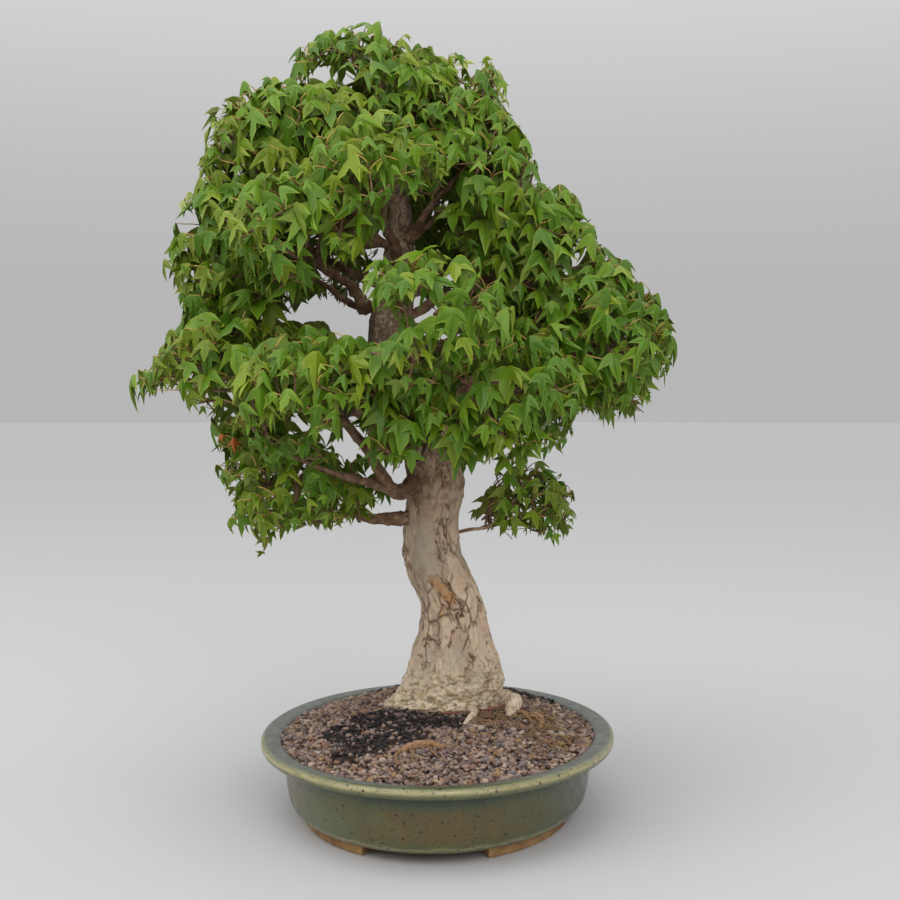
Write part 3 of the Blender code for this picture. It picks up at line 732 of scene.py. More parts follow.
# marks on the trunk: height, degrees round from +X, radius
trunkMarks = {
    "ochre": [(0.2085, 276, 0.0130), (0.1990, 283, 0.0090), (0.1890, 254, 0.0090), (0.2170, 260, 0.0090)],
    "smooth": [(0.250, 246, 0.0200), (0.236, 262, 0.0130), (0.272, 238, 0.0140), (0.140, 276, 0.0120)],
    "collar": [(0.330, 250, 0.0135), (0.309, 238, 0.0100), (0.2485, 214, 0.0035), (0.1440, 297, 0.0020),
               (0.1420, 301, 0.0018), (0.199, 334, 0.0028), (0.258, 64, 0.0070)],
    "rusty": [(0.2326, 216, 0.0042), (0.331, 283, 0.0055), (0.318, 291, 0.0040), (0.190, 330, 0.0042)],
}


def splineAt(rows, value):
    # the row at a value of the first column, on a smooth curve through all the rows
    last = len(rows) - 2
    i = next((k for k in range(last) if value < rows[k + 1][0]), last)
    a, b = rows[i], rows[i + 1]
    before = rows[i - 1] if i else a
    after = rows[i + 2] if i < last else b
    span = b[0] - a[0]
    t = (value - a[0]) / span
    result = []
    for k in range(1, len(a)):
        slopeA = (b[k] - before[k]) / (b[0] - before[0]) * span
        slopeB = (after[k] - a[k]) / (after[0] - a[0]) * span
        result.append((2 * t**3 - 3 * t**2 + 1) * a[k] + (t**3 - 2 * t**2 + t) * slopeA
                      + (3 * t**2 - 2 * t**3) * b[k] + (t**3 - t**2) * slopeB)
    return result


def pathRows(path):
    # a path as rows for splineAt: the share of its steps, then the place
    return [(i / (len(path) - 1), *place) for i, place in enumerate(path)]


def acrossPath(along):
    # a vector across each heading of a path, with no twist from one to the next
    side = np.cross(along[0], (0, 0, 1) if abs(along[0][2]) < 0.9 else (1, 0, 0))
    across = []
    for heading in along:
        side = side - heading * side.dot(heading)
        side = side / np.linalg.norm(side)
        across.append(side)
    return np.array(across)


def limbBlank(name, sides, cuts):
    # a closed cylinder a metre high, cut into even rings
    clearSelection()
    bpy.ops.mesh.primitive_cylinder_add(
        vertices=sides, radius=1, depth=1, end_fill_type="NGON", location=(0, 0, 0.5)
    )
    limb = bpy.context.object
    limb.name = name
    bpy.ops.object.transform_apply(location=True)
    openMesh(limb)
    for count in cuts:
        editSelect(limb, "EDGE", lambda edge: abs(edge.verts[0].co.z - edge.verts[1].co.z) > 1e-6)
        bpy.ops.mesh.subdivide(number_cuts=count)
    closeMesh()
    return limb


def barkRelief(flat, seed, size=1.0):
    # flat: points round a straightened limb; returns the relief in metres, the cracks, a number for
    # each plate, the plates that have fallen away, and the middle of each point's plate
    scale = barkShape["plate"] * size
    stretch = np.array((1, 1, barkShape["stretch"]))
    squashed = flat * stretch / scale
    bend = np.stack([softNoise(squashed * 1.7, seed + k) for k in range(3)], axis=1)
    jag = np.stack([softNoise(squashed * 6, seed + 10 + k) for k in range(3)], axis=1)
    warped = squashed + bend * barkShape["warp"] + jag * barkShape["jag"]
    border, number, offset = plateCells(warped, seed + 3)
    opened = smoothStep(*barkShape["opened"], softNoise(flat * (1, 1, 0.32) / (scale * 0.75), seed + 21))
    crack = bell(border, barkShape["crackWidth"]) * (0.08 + 0.92 * opened)
    lift = (number - 0.5) * barkShape["lift"]
    peel = np.clip(-offset[:, 2], 0, 1) * (number > 0.50) * barkShape["peel"] * (0.4 + 0.6 * opened)
    edge = smoothStep(0.0, 0.14, border)
    grain = layeredNoise(flat * (1, 1, 0.45) * 420 / size, seed + 31, 2) * barkShape["grain"]
    hollow = layeredNoise(flat / (scale * 1.3), seed + 41, 2) * barkShape["hollow"] * size
    relief = size * (lift * edge + peel * edge - barkShape["crackDepth"] * crack + grain) + hollow
    inner = (number < 0.30) * edge
    middle = flat - offset / stretch * scale
    return relief, crack, number, inner, middle


def makeTrunk(material):
    trunk = limbBlank("trunk_bark", trunkShape["sides"], trunkShape["cuts"])
    points = readPoints(trunk)
    angle = np.arctan2(points[:, 1], points[:, 0])
    low, high = trunkShape["foot"], trunkRows[-1][0]
    heights = low + (high - low) * np.clip(points[:, 2], 0, 1) ** trunkShape["spacing"]
    levels = np.unique(np.round(heights, 7))
    table = np.array([splineAt(trunkRows, max(level, trunkRows[0][0])) for level in levels])
    index = np.searchsorted(levels, np.round(heights, 7))
    centre, radius = table[index, :2], table[index, 2]
    flare = np.exp(-(heights - trunkRows[0][0]) / trunkShape["flareHeight"])
    swell = np.zeros(len(points))
    for lobes, turn, amount in trunkShape["waves"]:
        swell += amount * np.sin(lobes * angle + turn * heights)
    for heading, amount in trunkShape["buttresses"]:
        swell += amount * flare * bell(degreesFrom(np.degrees(angle), heading), trunkShape["buttressSpread"])
    flat = np.stack([radius * np.cos(angle), radius * np.sin(angle), heights], axis=1)
    relief, crack, number, inner, middle = barkRelief(flat, 11)
    # quieter plates, knobs and wrinkles on the pale foot
    foot = smoothStep(*trunkShape["paleFoot"], heights)
    knobs = layeredNoise(flat * (1, 1, 1.3) * 95, 61, 3) * trunkShape["knobs"] * foot
    wrinkles = (1 - np.abs(softNoise(flat * (1, 1, 2.6) * 120, 71)) * 2) * trunkShape["wrinkles"] * foot
    ragged = softNoise(flat * 260, 91) * 0.18 + softNoise(flat * 90, 92) * 0.22
    marks = {}
    for kind, spots in trunkMarks.items():
        # the ochre marks follow the plates, because plates have fallen away there
        fallen = kind == "ochre"
        where = 0.35 * middle + 0.65 * flat if fallen else flat
        tall, inside = (0.62, 0.10) if fallen else (0.8, 0.70)
        whereAngle = np.degrees(np.arctan2(where[:, 1], where[:, 0]))
        marks[kind] = np.zeros(len(points))
        for height, degrees, size in spots:
            around = np.radians(degreesFrom(whereAngle, degrees)) * radius
            away = np.hypot(around, (where[:, 2] - height) * tall)
            marks[kind] = np.maximum(marks[kind], smoothStep(1.18, inside, away / size + ragged))
    bark = (1 - 0.55 * foot) * (1 - 0.65 * marks["smooth"])
    sunk = trunkShape["fallen"] * marks["ochre"] * smoothStep(0.0, 0.10, np.clip(1 - crack, 0, 1))
    knotRelief = np.zeros(len(points))
    for height, degrees, size, proud in trunkShape["knots"]:
        around = np.radians(degreesFrom(np.degrees(angle), degrees)) * radius
        away = np.hypot(around, heights - height) / size
        knotRelief += proud * bell(away, 1) * (1 + 0.35 * np.cos(away * 9))
    thin = np.clip(radius / 0.028, 0.25, 1)
    reach = radius * (1 + swell) + (relief * bark + knobs + wrinkles) * thin + knotRelief - sunk
    reach -= trunkShape["collars"] * marks["collar"] * (heights < trunkShape["collarsTo"])
    # drawn in at the tip, so that its end is small
    reach = np.where(points[:, 2] > 1 - 1e-6, reach * 0.6, reach)
    across, along = reach * np.cos(angle), reach * np.sin(angle)
    writePoints(trunk, np.stack([centre[:, 0] + across, centre[:, 1] + along, heights], axis=1))
    setAttribute(trunk, "crack", np.clip(crack * bark, 0, 1))
    setAttribute(trunk, "plate", number)
    setAttribute(trunk, "inner", inner)
    for kind, mark in marks.items():
        setAttribute(trunk, kind, mark)
    trunk.data.materials.append(material)
    trunk.data.shade_smooth()
    finishPiece(trunk, "bark", "trunk")


barkColors = {
    "cream": (0.620, 0.474, 0.330),
    "pink": (0.520, 0.370, 0.260),
    "grey": (0.430, 0.355, 0.265),
    "tan": (0.370, 0.235, 0.130),
    "ochre": (0.500, 0.262, 0.092),
    "crack": (0.098, 0.050, 0.027),
    "halo": (0.260, 0.150, 0.080),
    "foot": (0.660, 0.545, 0.400),
    "moss": (0.300, 0.220, 0.085),
    "brown": (0.150, 0.092, 0.055),
    "collar": (0.135, 0.070, 0.040),
    "wrinkle": (0.200, 0.128, 0.056),
    "stain": (0.400, 0.245, 0.130),
    "rusty": (0.270, 0.120, 0.060),
    "limb": (0.132, 0.064, 0.033),
    "root": (0.300, 0.165, 0.075),
}


def makeTrunkBark():
    bark = newMaterial("trunk_bark", barkColors["cream"], 0.82)
    bench = NodeBench(bark, barkColors, "grey")
    height, crack, smooth = bench.axis("Z"), bench.attribute("crack"), bench.attribute("smooth")
    bench.coat(bench.span(bench.attribute("plate"), 0.10, 0.85), "cream")
    bench.coat(bench.patches(55, 4, 0.46, 0.62, 0, 0.75), "pink")
    bench.coat(bench.patches(38, 5, 0.55, 0.74, 0, 0.60), "tan")
    bench.coat(bench.times(bench.attribute("inner"), 0.30), "tan")
    bench.coat(bench.times(smooth, bench.patches(60, 3, 0.30, 0.60, 0.25, 0.75)), "grey")
    # the pale foot, with curly ochre wrinkles where a stretched noise passes its middle
    foot = bench.span(height, 0.150, 0.100)
    bench.coat(bench.times(foot, 0.8), "foot")
    curls = bench.math("SUBTRACT", bench.noise(62, 3, (1, 1, 1.7)), 0.5)
    curls = bench.math("ABSOLUTE", bench.times(curls, 10.0))
    wrinkle = bench.times(bench.span(curls, 0.42, 0.08), bench.patches(90, 3, 0.36, 0.56))
    bench.coat(bench.times(wrinkle, bench.times(foot, 0.85)), "wrinkle")
    bench.coat(bench.times(foot, bench.patches(110, 4, 0.47, 0.64, 0, 0.75)), "moss")
    # plates fallen away, the rusty knots and the dark collars
    ochre = bench.times(bench.attribute("ochre"), bench.patches(85, 4, 0.30, 0.66, 0.25, 0.92))
    bench.coat(bench.span(ochre, 0.05, 0.45, 0, 0.55), "stain")
    bench.coat(bench.span(ochre, 0.40, 0.85, 0, 0.85), "ochre")
    bench.coat(bench.times(bench.attribute("rusty"), 0.7), "rusty")
    collar = bench.patches(150, 3, 0.25, 0.60, 0.30, 0.85)
    bench.coat(bench.times(bench.attribute("collar"), collar), "collar")
    # browner towards the leaves, and speckled with moss and old bark among them
    bench.coat(bench.span(height, 0.245, 0.330, 0, 0.50), "tan")
    blotch = bench.patches(120, 4, 0.48, 0.60, 0, 0.75)
    bench.coat(bench.times(blotch, bench.span(height, 0.27, 0.33)), "brown")
    mossy = bench.blend(bench.patches(230, 4, 0.46, 0.62), "brown", "grey")
    mossy = bench.blend(bench.patches(60, 3, 0.50, 0.66, 0, 0.5), mossy, "moss")
    high = bench.times(bench.span(height, 0.335, 0.420), bench.patches(75, 4, 0.20, 0.55, 0.45, 0.9))
    bench.coat(bench.times(high, bench.span(height, 0.500, 0.545, 1.0, 0.35)), mossy)
    specks = bench.patches(480, 3, 0.52, 0.62, 0, 0.8)
    bench.coat(bench.times(specks, bench.span(height, 0.47, 0.54)), "brown")
    bench.coat(bench.patches(420, 4, 0.50, 0.75, 0, 0.32, (1, 1, 0.5)), "brown")
    # fine cracks between small flakes, and the deep ones that the mesh has too
    flakes = bench.plates(84, (1, 1, 0.33), 0.95, 70)
    opened = bench.patches(34, 3, 0.46, 0.56, stretch=(1, 1, 0.4))
    opened = bench.times(opened, bench.span(height, 0.105, 0.150, 0.25, 1))
    opened = bench.times(opened, bench.math("SUBTRACT", 1.0, bench.times(smooth, 0.8)))
    halo = bench.times(bench.span(flakes, 0.16, 0.02), opened)
    halo = bench.math("MAXIMUM", halo, bench.span(crack, 0.02, 0.60))
    bench.coat(bench.times(halo, 0.55), "halo")
    line = bench.times(bench.span(flakes, 0.034, 0.008), bench.times(opened, 0.8))
    bench.coat(bench.math("MAXIMUM", line, bench.span(crack, 0.45, 0.95)), "crack")
    flake = bench.times(bench.span(bench.span(flakes, 0.0, 0.07), 0.0, 1.0, 0, 1.4), opened)
    bench.finish(bench.math("ADD", bench.noise(800, 4, (1, 1, 0.5)), flake), 0.0014, 0.85)
    return bark


def makeBoughBark(name, pale, main):
    bark = newMaterial(name, barkColors[main], 0.85)
    bench = NodeBench(bark, barkColors, main)
    bench.coat(bench.patches(90, 5, 0.42, 0.72, 0, 0.75), "tan")
    bench.coat(bench.patches(30, 3, 0.45, 0.70, 0, pale), "cream")
    bench.coat(bench.patches(520, 3, 0.48, 0.66, 0, 0.5, (1, 1, 0.6)), "collar")
    bench.coat(bench.patches(170, 4, 0.52, 0.66, 0, 0.55), "collar")
    bench.coat(bench.span(bench.attribute("crack"), 0.3, 0.9), "crack")
    bench.finish(bench.math("ADD", bench.noise(700, 4), bench.noise(190, 4)), 0.0010, 0.9)
    return bark


# the foliage masses: centre, radius, where the bough starts (a height on the trunk, or a share of
# the bough that it comes from), the bough's radius at its foot and how far it sags midway
masses = {
    "top": {"at": (-0.051, 0.007, 0.712), "radius": 0.085},
    "top_right": {"at": (0.040, 0.012, 0.690), "radius": 0.082, "where": 0.640, "thick": 0.0045},
    "upper_left": {"at": (-0.129, -0.018, 0.650), "radius": 0.086, "where": 0.570, "thick": 0.0060,
                   "sag": 0.018, "slim": 0.72},
    "upper_right": {"at": (0.082, -0.015, 0.616), "radius": 0.083, "where": 0.565, "thick": 0.0060,
                    "slim": 0.72},
    "front_upper": {"at": (-0.016, -0.131, 0.605), "radius": 0.071, "where": 0.540, "thick": 0.0065},
    "back_top": {"at": (-0.022, 0.118, 0.672), "radius": 0.092, "where": 0.612, "thick": 0.0055},
    "left": {"at": (-0.156, -0.020, 0.553), "radius": 0.094, "where": 0.500, "thick": 0.0090,
             "sag": 0.010, "slim": 0.66},
    "right_upper": {"at": (0.140, -0.001, 0.546), "radius": 0.086, "where": 0.490, "thick": 0.0085,
                    "slim": 0.72},
    "front_mid_left": {"at": (-0.090, -0.146, 0.556), "radius": 0.070, "from": "left", "where": 0.32,
                       "thick": 0.0055},
    "back_left": {"at": (-0.142, 0.142, 0.580), "radius": 0.096, "where": 0.520, "thick": 0.0075},
    "back_right": {"at": (0.078, 0.165, 0.573), "radius": 0.096, "where": 0.510, "thick": 0.0080},
    "front": {"at": (0.035, -0.182, 0.469), "radius": 0.076, "where": 0.435, "thick": 0.0085,
              "hang": 0.006},
    "left_low": {"at": (-0.180, -0.032, 0.434), "radius": 0.097, "where": 0.412, "thick": 0.0095},
    "right": {"at": (0.188, -0.008, 0.459), "radius": 0.095, "where": 0.400, "thick": 0.0105},
    "front_right": {"at": (0.103, -0.124, 0.403), "radius": 0.071, "from": "right", "where": 0.36,
                    "thick": 0.0060, "hang": 0.007},
    "front_left": {"at": (-0.076, -0.145, 0.404), "radius": 0.078, "where": 0.335, "thick": 0.0105,
                   "sag": 0.044},
    "front_low": {"at": (0.028, -0.125, 0.376), "radius": 0.061, "where": 0.368, "thick": 0.0060},
    "back_low_left": {"at": (-0.155, 0.150, 0.416), "radius": 0.100, "where": 0.388, "thick": 0.0090},
    "back_low_right": {"at": (0.128, 0.162, 0.440), "radius": 0.100, "where": 0.375, "thick": 0.0085},
    "back_low": {"at": (-0.016, 0.182, 0.402), "radius": 0.092, "where": 0.352, "thick": 0.0080},
    "lower_left": {"at": (-0.108, -0.027, 0.313), "radius": 0.088, "where": 0.290, "thick": 0.0095,
                   "sag": 0.012, "leafSize": 0.80, "spacing": 0.0180},
    "low_right": {"at": (0.116, 0.067, 0.286), "radius": 0.058, "where": 0.256, "thick": 0.0040,
                  "slim": 0.55, "bark": 1, "leafSize": 0.80, "shell": (0.0, 0.86), "spacing": 0.0168,
                  "hang": 0.004},
}
boughShape = {
    "rings": 6,
    "sway": 0.05,
    "taper": 1.2,
    "leaving": (0.90, 0.25),
    "arriving": (0.95, 0.10),
    "tipRadius": 0.0036,
    # a finer bough's radius at its tip, and its taper
    "fineEnd": (0.0018, 1.1),
    "tipInside": 0.58,
    "tipBelow": 0.22,
    "sides": 30,
    "cuts": (9, 8),
    "collar": 0.55,
    "collarSpan": 0.16,
    # for the bark: its seed, its size and how much of its relief shows
    "seed": 200,
    "bark": (0.42, 2.0),
}
# the masses are this much wider than high
flatness = 1.12


def boughPath(mass, rng, carrierPath):
    start = Vector((*splineAt(trunkRows, mass["where"])[:2], mass["where"]))
    if carrierPath:
        index = mass["where"] * (len(carrierPath) - 1)
        low = int(index)
        start = carrierPath[low].lerp(carrierPath[low + 1], index - low)
    way = Vector(((mass["at"] - start).x, (mass["at"] - start).y, 0)).normalized()
    tip = mass["at"] - way * boughShape["tipInside"] * mass["radius"]
    tip -= up * boughShape["tipBelow"] * mass["radius"]
    length = (tip - start).length
    first = start + (way * boughShape["leaving"][0] + up * boughShape["leaving"][1]) * length / 3
    second = tip - (way * boughShape["arriving"][0] + up * boughShape["arriving"][1]) * length / 3
    side = way.cross(up)
    sway = rng.choice((-1, 1)) * boughShape["sway"] * length
    path = []
    for i in range(boughShape["rings"]):
        t = i / (boughShape["rings"] - 1)
        point = (1 - t) ** 3 * start + 3 * (1 - t) ** 2 * t * first + 3 * (1 - t) * t**2 * second + t**3 * tip
        point += side * sway * math.sin(math.tau * t) * math.sin(math.pi * t)
        point += up * 0.5 * sway * math.sin(1.5 * math.tau * t) * math.sin(math.pi * t)
        point -= up * mass.get("sag", 0) * math.sin(math.pi * t)
        path.append(point)
    return path


def planBoughs():
    for mass in masses.values():
        mass["at"] = Vector(mass["at"])
    paths = {}
    for number, (name, mass) in enumerate(masses.items()):
        if "where" in mass:
            paths[name] = boughPath(mass, random.Random(100 + number), paths.get(mass.get("from")))
    return paths


def planFineBoughs(paths):
    for name, fine in fineBoughs.items():
        start = Vector(splineAt(pathRows(paths[fine["from"]]), fine["where"]))
        rows = pathRows([start] + [Vector(point) for point in fine["through"]])
        paths[name] = [Vector(splineAt(rows, i / 8)) for i in range(9)]


def limbRadius(name, share):
    # a bough's radius, or a finer bough's, at a share of its length
    mass = masses.get(name)
    tip, taper = (boughShape["tipRadius"], boughShape["taper"]) if mass else boughShape["fineEnd"]
    thick = (mass or fineBoughs[name])["thick"]
    return tip + (thick - tip) * (1 - share) ** taper


def wrapLimb(limb, rows, seed, size, roughness):
    # bends a blank limb along rows of (share, x, y, z, radius) and gives it bark
    points = readPoints(limb)
    angle = np.arctan2(points[:, 1], points[:, 0])
    share = np.clip(points[:, 2], 0, 1)
    levels = np.unique(np.round(share, 7))
    table = np.array([splineAt(rows, level) for level in levels])
    along = unit(np.gradient(table[:, :3], axis=0))
    length = np.concatenate(([0], np.cumsum(np.linalg.norm(np.diff(table[:, :3], axis=0), axis=1))))
    across = acrossPath(along)
    other = np.cross(along, across)
    index = np.searchsorted(levels, np.round(share, 7))
    radius = table[index, 3]
    flat = np.stack([radius * np.cos(angle), radius * np.sin(angle), length[index]], axis=1)
    relief, crack, *_ = barkRelief(flat + seed * 0.37, seed, size)
    lumps = layeredNoise(flat * 70 + seed, seed + 5, 3) * radius * 0.23
    reach = radius + (relief * roughness + lumps) * np.clip(radius / 0.007, 0.3, 1)
    reach = np.where(points[:, 2] > 1 - 1e-6, reach * 0.55, reach)
    placed = (table[index, :3] + across[index] * (reach * np.cos(angle))[:, None]
              + other[index] * (reach * np.sin(angle))[:, None])
    writePoints(limb, placed)
    setAttribute(limb, "crack", np.clip(crack, 0, 1))


def makeLimbs(name, limbs, shape, materials, nodes):
    # one joined piece of limbs, each given by its rows along it and the number of its material
    pieces = []
    for number, (rows, slot) in enumerate(limbs):
        blank = limbBlank(name, shape["sides"], shape["cuts"])
        wrapLimb(blank, rows, shape["seed"] + number * 9, *shape["bark"])
        blank.data.materials.append(materials[slot])
        pieces.append(blank)
    makeActive(pieces[0])
    for piece in pieces:
        piece.select_set(True)
    bpy.ops.object.join()
    pieces[0].data.shade_smooth()
    finishPiece(pieces[0], "bark", *nodes)
    print(name + ":", len(limbs), "limbs")


def makeBoughs(paths, materials):
    limbs = []
    for name, path in paths.items():
        mass = masses.get(name, {})
        rows = []
        for share, *point in pathRows(path):
            # a collar where the bough leaves the limb that carries it
            swell = 1 + boughShape["collar"] * math.exp(-((share / boughShape["collarSpan"]) ** 2))
            rows.append((share, *point, limbRadius(name, share) * swell * mass.get("slim", 1)))
        limbs.append((rows, mass.get("bark", 0)))
    nodes = ["bough_" + name for name in paths if name in masses]
    makeLimbs("boughs_bark", limbs, boughShape, materials, nodes)


# surface roots: start and end (x, y), the bow between them, the radii at both ends and the bark
roots = {
    "root_knob": {"start": (0.080, 0.034), "end": (0.105, -0.034), "bow": -0.22, "radii": (0.0115, 0.0065),
                  "bark": 0},
    "root_finger": {"start": (0.064, -0.006), "end": (0.060, -0.072), "bow": -0.10,
                    "radii": (0.0062, 0.0022), "bark": 0},
    "root_curl": {"start": (0.123, -0.020), "end": (0.135, -0.062), "bow": -0.16,
                  "radii": (0.0040, 0.0026), "bark": 1},
    "root_snag": {"start": (0.006, -0.162), "end": (0.046, -0.144), "bow": -0.20,
                  "radii": (0.0032, 0.0044), "bark": 1},
}
# thin strands lying on the soil: radius, material, and points as x, y and height over the soil
strands = [
    (0.0009, 1, [(0.036, -0.030, 0.0015), (0.060, -0.031, 0.0035), (0.085, -0.028, 0.0060),
                 (0.100, -0.018, 0.0070), (0.118, -0.004, 0.0035)]),
    (0.0010, 1, [(0.070, -0.020, 0.0050), (0.078, -0.036, 0.0060), (0.080, -0.050, 0.0010)]),
    (0.0008, 1, [(0.084, -0.024, 0.0070), (0.086, -0.040, 0.0040), (0.083, -0.052, 0.0005)]),
    (0.0016, 0, [(0.008, -0.160, 0.0020), (0.004, -0.174, 0.0030), (0.008, -0.192, 0.0005)]),
    (0.0009, 0, [(0.016, -0.158, 0.0030), (0.020, -0.176, 0.0025), (0.016, -0.190, 0.0005)]),
    (0.0007, 0, [(0.030, -0.150, 0.0050), (0.040, -0.170, 0.0025), (0.050, -0.182, 0.0005)]),
    (0.0006, 0, [(0.046, -0.144, 0.0040), (0.060, -0.150, 0.0030), (0.070, -0.164, 0.0005)]),
    (0.0007, 0, [(0.0566, -0.112, 0.0020), (0.058, -0.126, 0.0050), (0.057, -0.142, 0.0008)]),
    (0.0022, 0, [(0.112, -0.026, 0.0030), (0.120, -0.036, 0.0040), (0.128, -0.052, 0.0010)]),
    (0.0014, 0, [(0.118, -0.034, 0.0030), (0.130, -0.048, 0.0050), (0.146, -0.062, 0.0010)]),
]
# fine fibres among them: where they start, within an ellipse round the pot's middle
fibres = {"count": 125, "length": (0.012, 0.030), "radius": 0.00042, "lift": 0.0030,
          "x": (0.070, 0.185), "y": (-0.150, 0.010), "within": (0.140, 0.185), "joints": 5}
rootShape = {"rings": 6, "rise": 0.75, "taper": 0.4, "sides": 28, "cuts": (9, 6), "seed": 400,
             "bark": (0.5, 1.6)}


def makeRoots(materials):
    limbs = []
    for root in roots.values():
        start, end = Vector((*root["start"], 0)), Vector((*root["end"], 0))
        rows = []
        for i in range(rootShape["rings"]):
            share = i / (rootShape["rings"] - 1)
            endShare = abs(2 * share - 1)
            radius = root["radii"][0] + share * (root["radii"][1] - root["radii"][0])
            point = start.lerp(end, share)
            point += (end - start).cross(up) * root["bow"] * math.sin(share * math.pi)
            point.z = soilHeight(point.x, point.y) + radius * (rootShape["rise"] - endShare**3)
            rows.append((share, *point, radius * (1 - rootShape["taper"] * endShare**4)))
        limbs.append((rows, root["bark"]))
    makeLimbs("roots_bark", limbs, rootShape, materials, roots)


def makeStrands(materials):
    # loose root strands and a felt of fine fibres on the right-hand soil
    bundle = Bundle()
    rng = np.random.default_rng(31)
    for thick, slot, through in strands:
        rows = pathRows(through)
        path = []
        for share in np.linspace(0, 1, 15):
            x, y, lift = splineAt(rows, share)
            x, y = x + rng.normal(0, 0.0005), y + rng.normal(0, 0.0005)
            path.append((x, y, soilHeight(x, y) + lift + thick * 0.4))
        radii = np.linspace(thick, thick * 0.55, len(path)) * rng.uniform(0.85, 1.15, len(path))
        bundle.add(*tubeArrays(path, radii, 6), slot)
    (cx, cy), (wide, long) = potShape["centre"], fibres["within"]
    made = 0
    while made < fibres["count"]:
        x, y = rng.uniform(*fibres["x"]), rng.uniform(*fibres["y"])
        outside = ((x - cx) / wide) ** 2 + ((y - cy) / long) ** 2 > 1
        if outside or patchWeight("mossy", x, y) < rng.uniform(0.1, 1.2):
            continue
        heading, bend = rng.uniform(0, math.tau), rng.normal(0, 1.6)
        length = rng.uniform(*fibres["length"])
        path = []
        for step in range(fibres["joints"] + 1):
            share = step / fibres["joints"]
            lift = fibres["lift"] * math.sin(share * math.pi) * rng.uniform(0.4, 1.2) + 0.0010
            path.append((x, y, soilHeight(x, y) + lift))
            x += math.cos(heading) * length / fibres["joints"]
            y += math.sin(heading) * length / fibres["joints"]
            heading += bend / fibres["joints"] + rng.normal(0, 0.25)
        bundle.add(*tubeArrays(path, [fibres["radius"]] * len(path), 3), rng.choice([0, 2]))
        made += 1
    piece = bundle.make("root_strands", materials)
    piece.data.shade_smooth()
    finishPiece(piece, "bark")
    print("strands:", len(strands), "and", made, "fibres,", bundle.triangles(), "triangles")


# one leaf, modelled at unit length: three lobes, a pale margin and a paler underside
leafShape = {
    # across and along, down one half of the outline from the base to the middle tip
    "outline": [(0.0, 0.0), (0.120, -0.010), (0.325, 0.105), (0.630, 0.450), (0.410, 0.385),
                (0.182, 0.360), (0.182, 0.570), (0.082, 0.800), (0.0, 1.0)],
    "margin": 0.024,
    "hub": 0.13,
    "thickness": 0.010,
}
# how each kind bends: droop along it, fold along its middle, side lobes down, twist, width, wave
leafBends = [
    (0.25, -0.20, 0.35, 0.12, 1.00, 0.07), (0.45, -0.35, 0.25, -0.15, 0.88, 0.11),
    (0.15, 0.22, 0.10, 0.20, 1.12, 0.10), (0.60, -0.12, 0.70, -0.05, 0.95, 0.13),
    (0.35, -0.50, 0.10, 0.05, 0.80, 0.08), (-0.10, 0.34, 0.25, -0.10, 1.05, 0.12),
    (0.75, 0.10, 0.40, 0.32, 0.92, 0.10), (0.30, -0.70, 0.05, -0.22, 1.00, 0.06),
    (0.55, -0.95, -0.20, 0.15, 0.95, 0.09), (0.10, -0.05, 0.95, 0.40, 0.90, 0.14),
    (0.90, -0.30, 0.15, -0.38, 0.78, 0.10), (-0.20, 0.60, 0.45, 0.10, 0.90, 0.12),
]


def modelLeaf():
    half = leafShape["outline"]
    outline = half + [(-x, y) for x, y in reversed(half[1:-1])]
    clearSelection()
    bpy.ops.mesh.primitive_circle_add(vertices=len(outline), radius=0.5, fill_type="NGON")
    leaf = bpy.context.object
    for _ in range(3):
        leaf.data.materials.append(None)
    openMesh(leaf)
    spots = [vert.co.copy() for vert in bmesh.from_edit_mesh(leaf.data).verts]
    for number, (x, y) in enumerate(outline):
        editSelect(leaf, "VERT", lambda vert: vert.index == number)
        bpy.ops.transform.translate(value=Vector((x, y, 0)) - spots[number])
    bpy.ops.mesh.select_mode(type="FACE")
    bpy.ops.mesh.select_all(action="SELECT")
    bpy.ops.mesh.normals_make_consistent(inside=False)
    if bmesh.from_edit_mesh(leaf.data).faces[:][0].normal.z < 0:
        bpy.ops.mesh.flip_normals()

    def dye(slot):
        leaf.active_material_index = slot
        bpy.ops.object.material_slot_assign()

    # the underside
    bpy.ops.mesh.duplicate()
    bpy.ops.mesh.flip_normals()
    dye(2)
    bpy.ops.mesh.poke(offset=leafShape["thickness"])
    # the upper side, with its margin
    editSelect(leaf, "FACE", lambda face: len(face.verts) > 4)
    dye(1)
    bpy.ops.mesh.inset(thickness=leafShape["margin"], depth=0)
    editSelect(leaf, "FACE", lambda face: len(face.verts) > 4)
    dye(0)
    bpy.ops.mesh.poke(offset=leafShape["thickness"])
    # both middles go to where the veins meet, near the leaf's foot
    for side in (-1, 1):
        editSelect(leaf, "VERT", lambda vert: vert.co.z * side > leafShape["thickness"] / 2)
        middle = next(vert for vert in bmesh.from_edit_mesh(leaf.data).verts if vert.select).co
        bpy.ops.transform.translate(value=(0, leafShape["hub"] - middle.y, 0))

    # the three main veins get points of their own
    def isVein(edge):
        ends = sorted(edge.verts, key=lambda vert: vert.co.z)
        if ends[1].co.z < leafShape["thickness"] / 2 or abs(ends[0].co.z) > 1e-5:
            return False
        reach = ends[0].co - Vector((0, leafShape["hub"], 0))
        return reach.length > 0.55 and (abs(reach.x) < 0.01 or abs(reach.x) > 0.30)

    editSelect(leaf, "EDGE", isVein)
    bpy.ops.mesh.subdivide(number_cuts=2)
    bpy.ops.mesh.select_mode(type="VERT")
    bpy.ops.mesh.select_all(action="SELECT")
    bpy.ops.mesh.remove_doubles(threshold=0.0005)
    closeMesh()
    points = readPoints(leaf)
    sizes = np.array([len(face.vertices) for face in leaf.data.polygons])
    loops = np.concatenate([list(face.vertices) for face in leaf.data.polygons])
    slots = np.array([face.material_index for face in leaf.data.polygons])
    bpy.data.objects.remove(leaf)
    return points, loops, sizes, slots


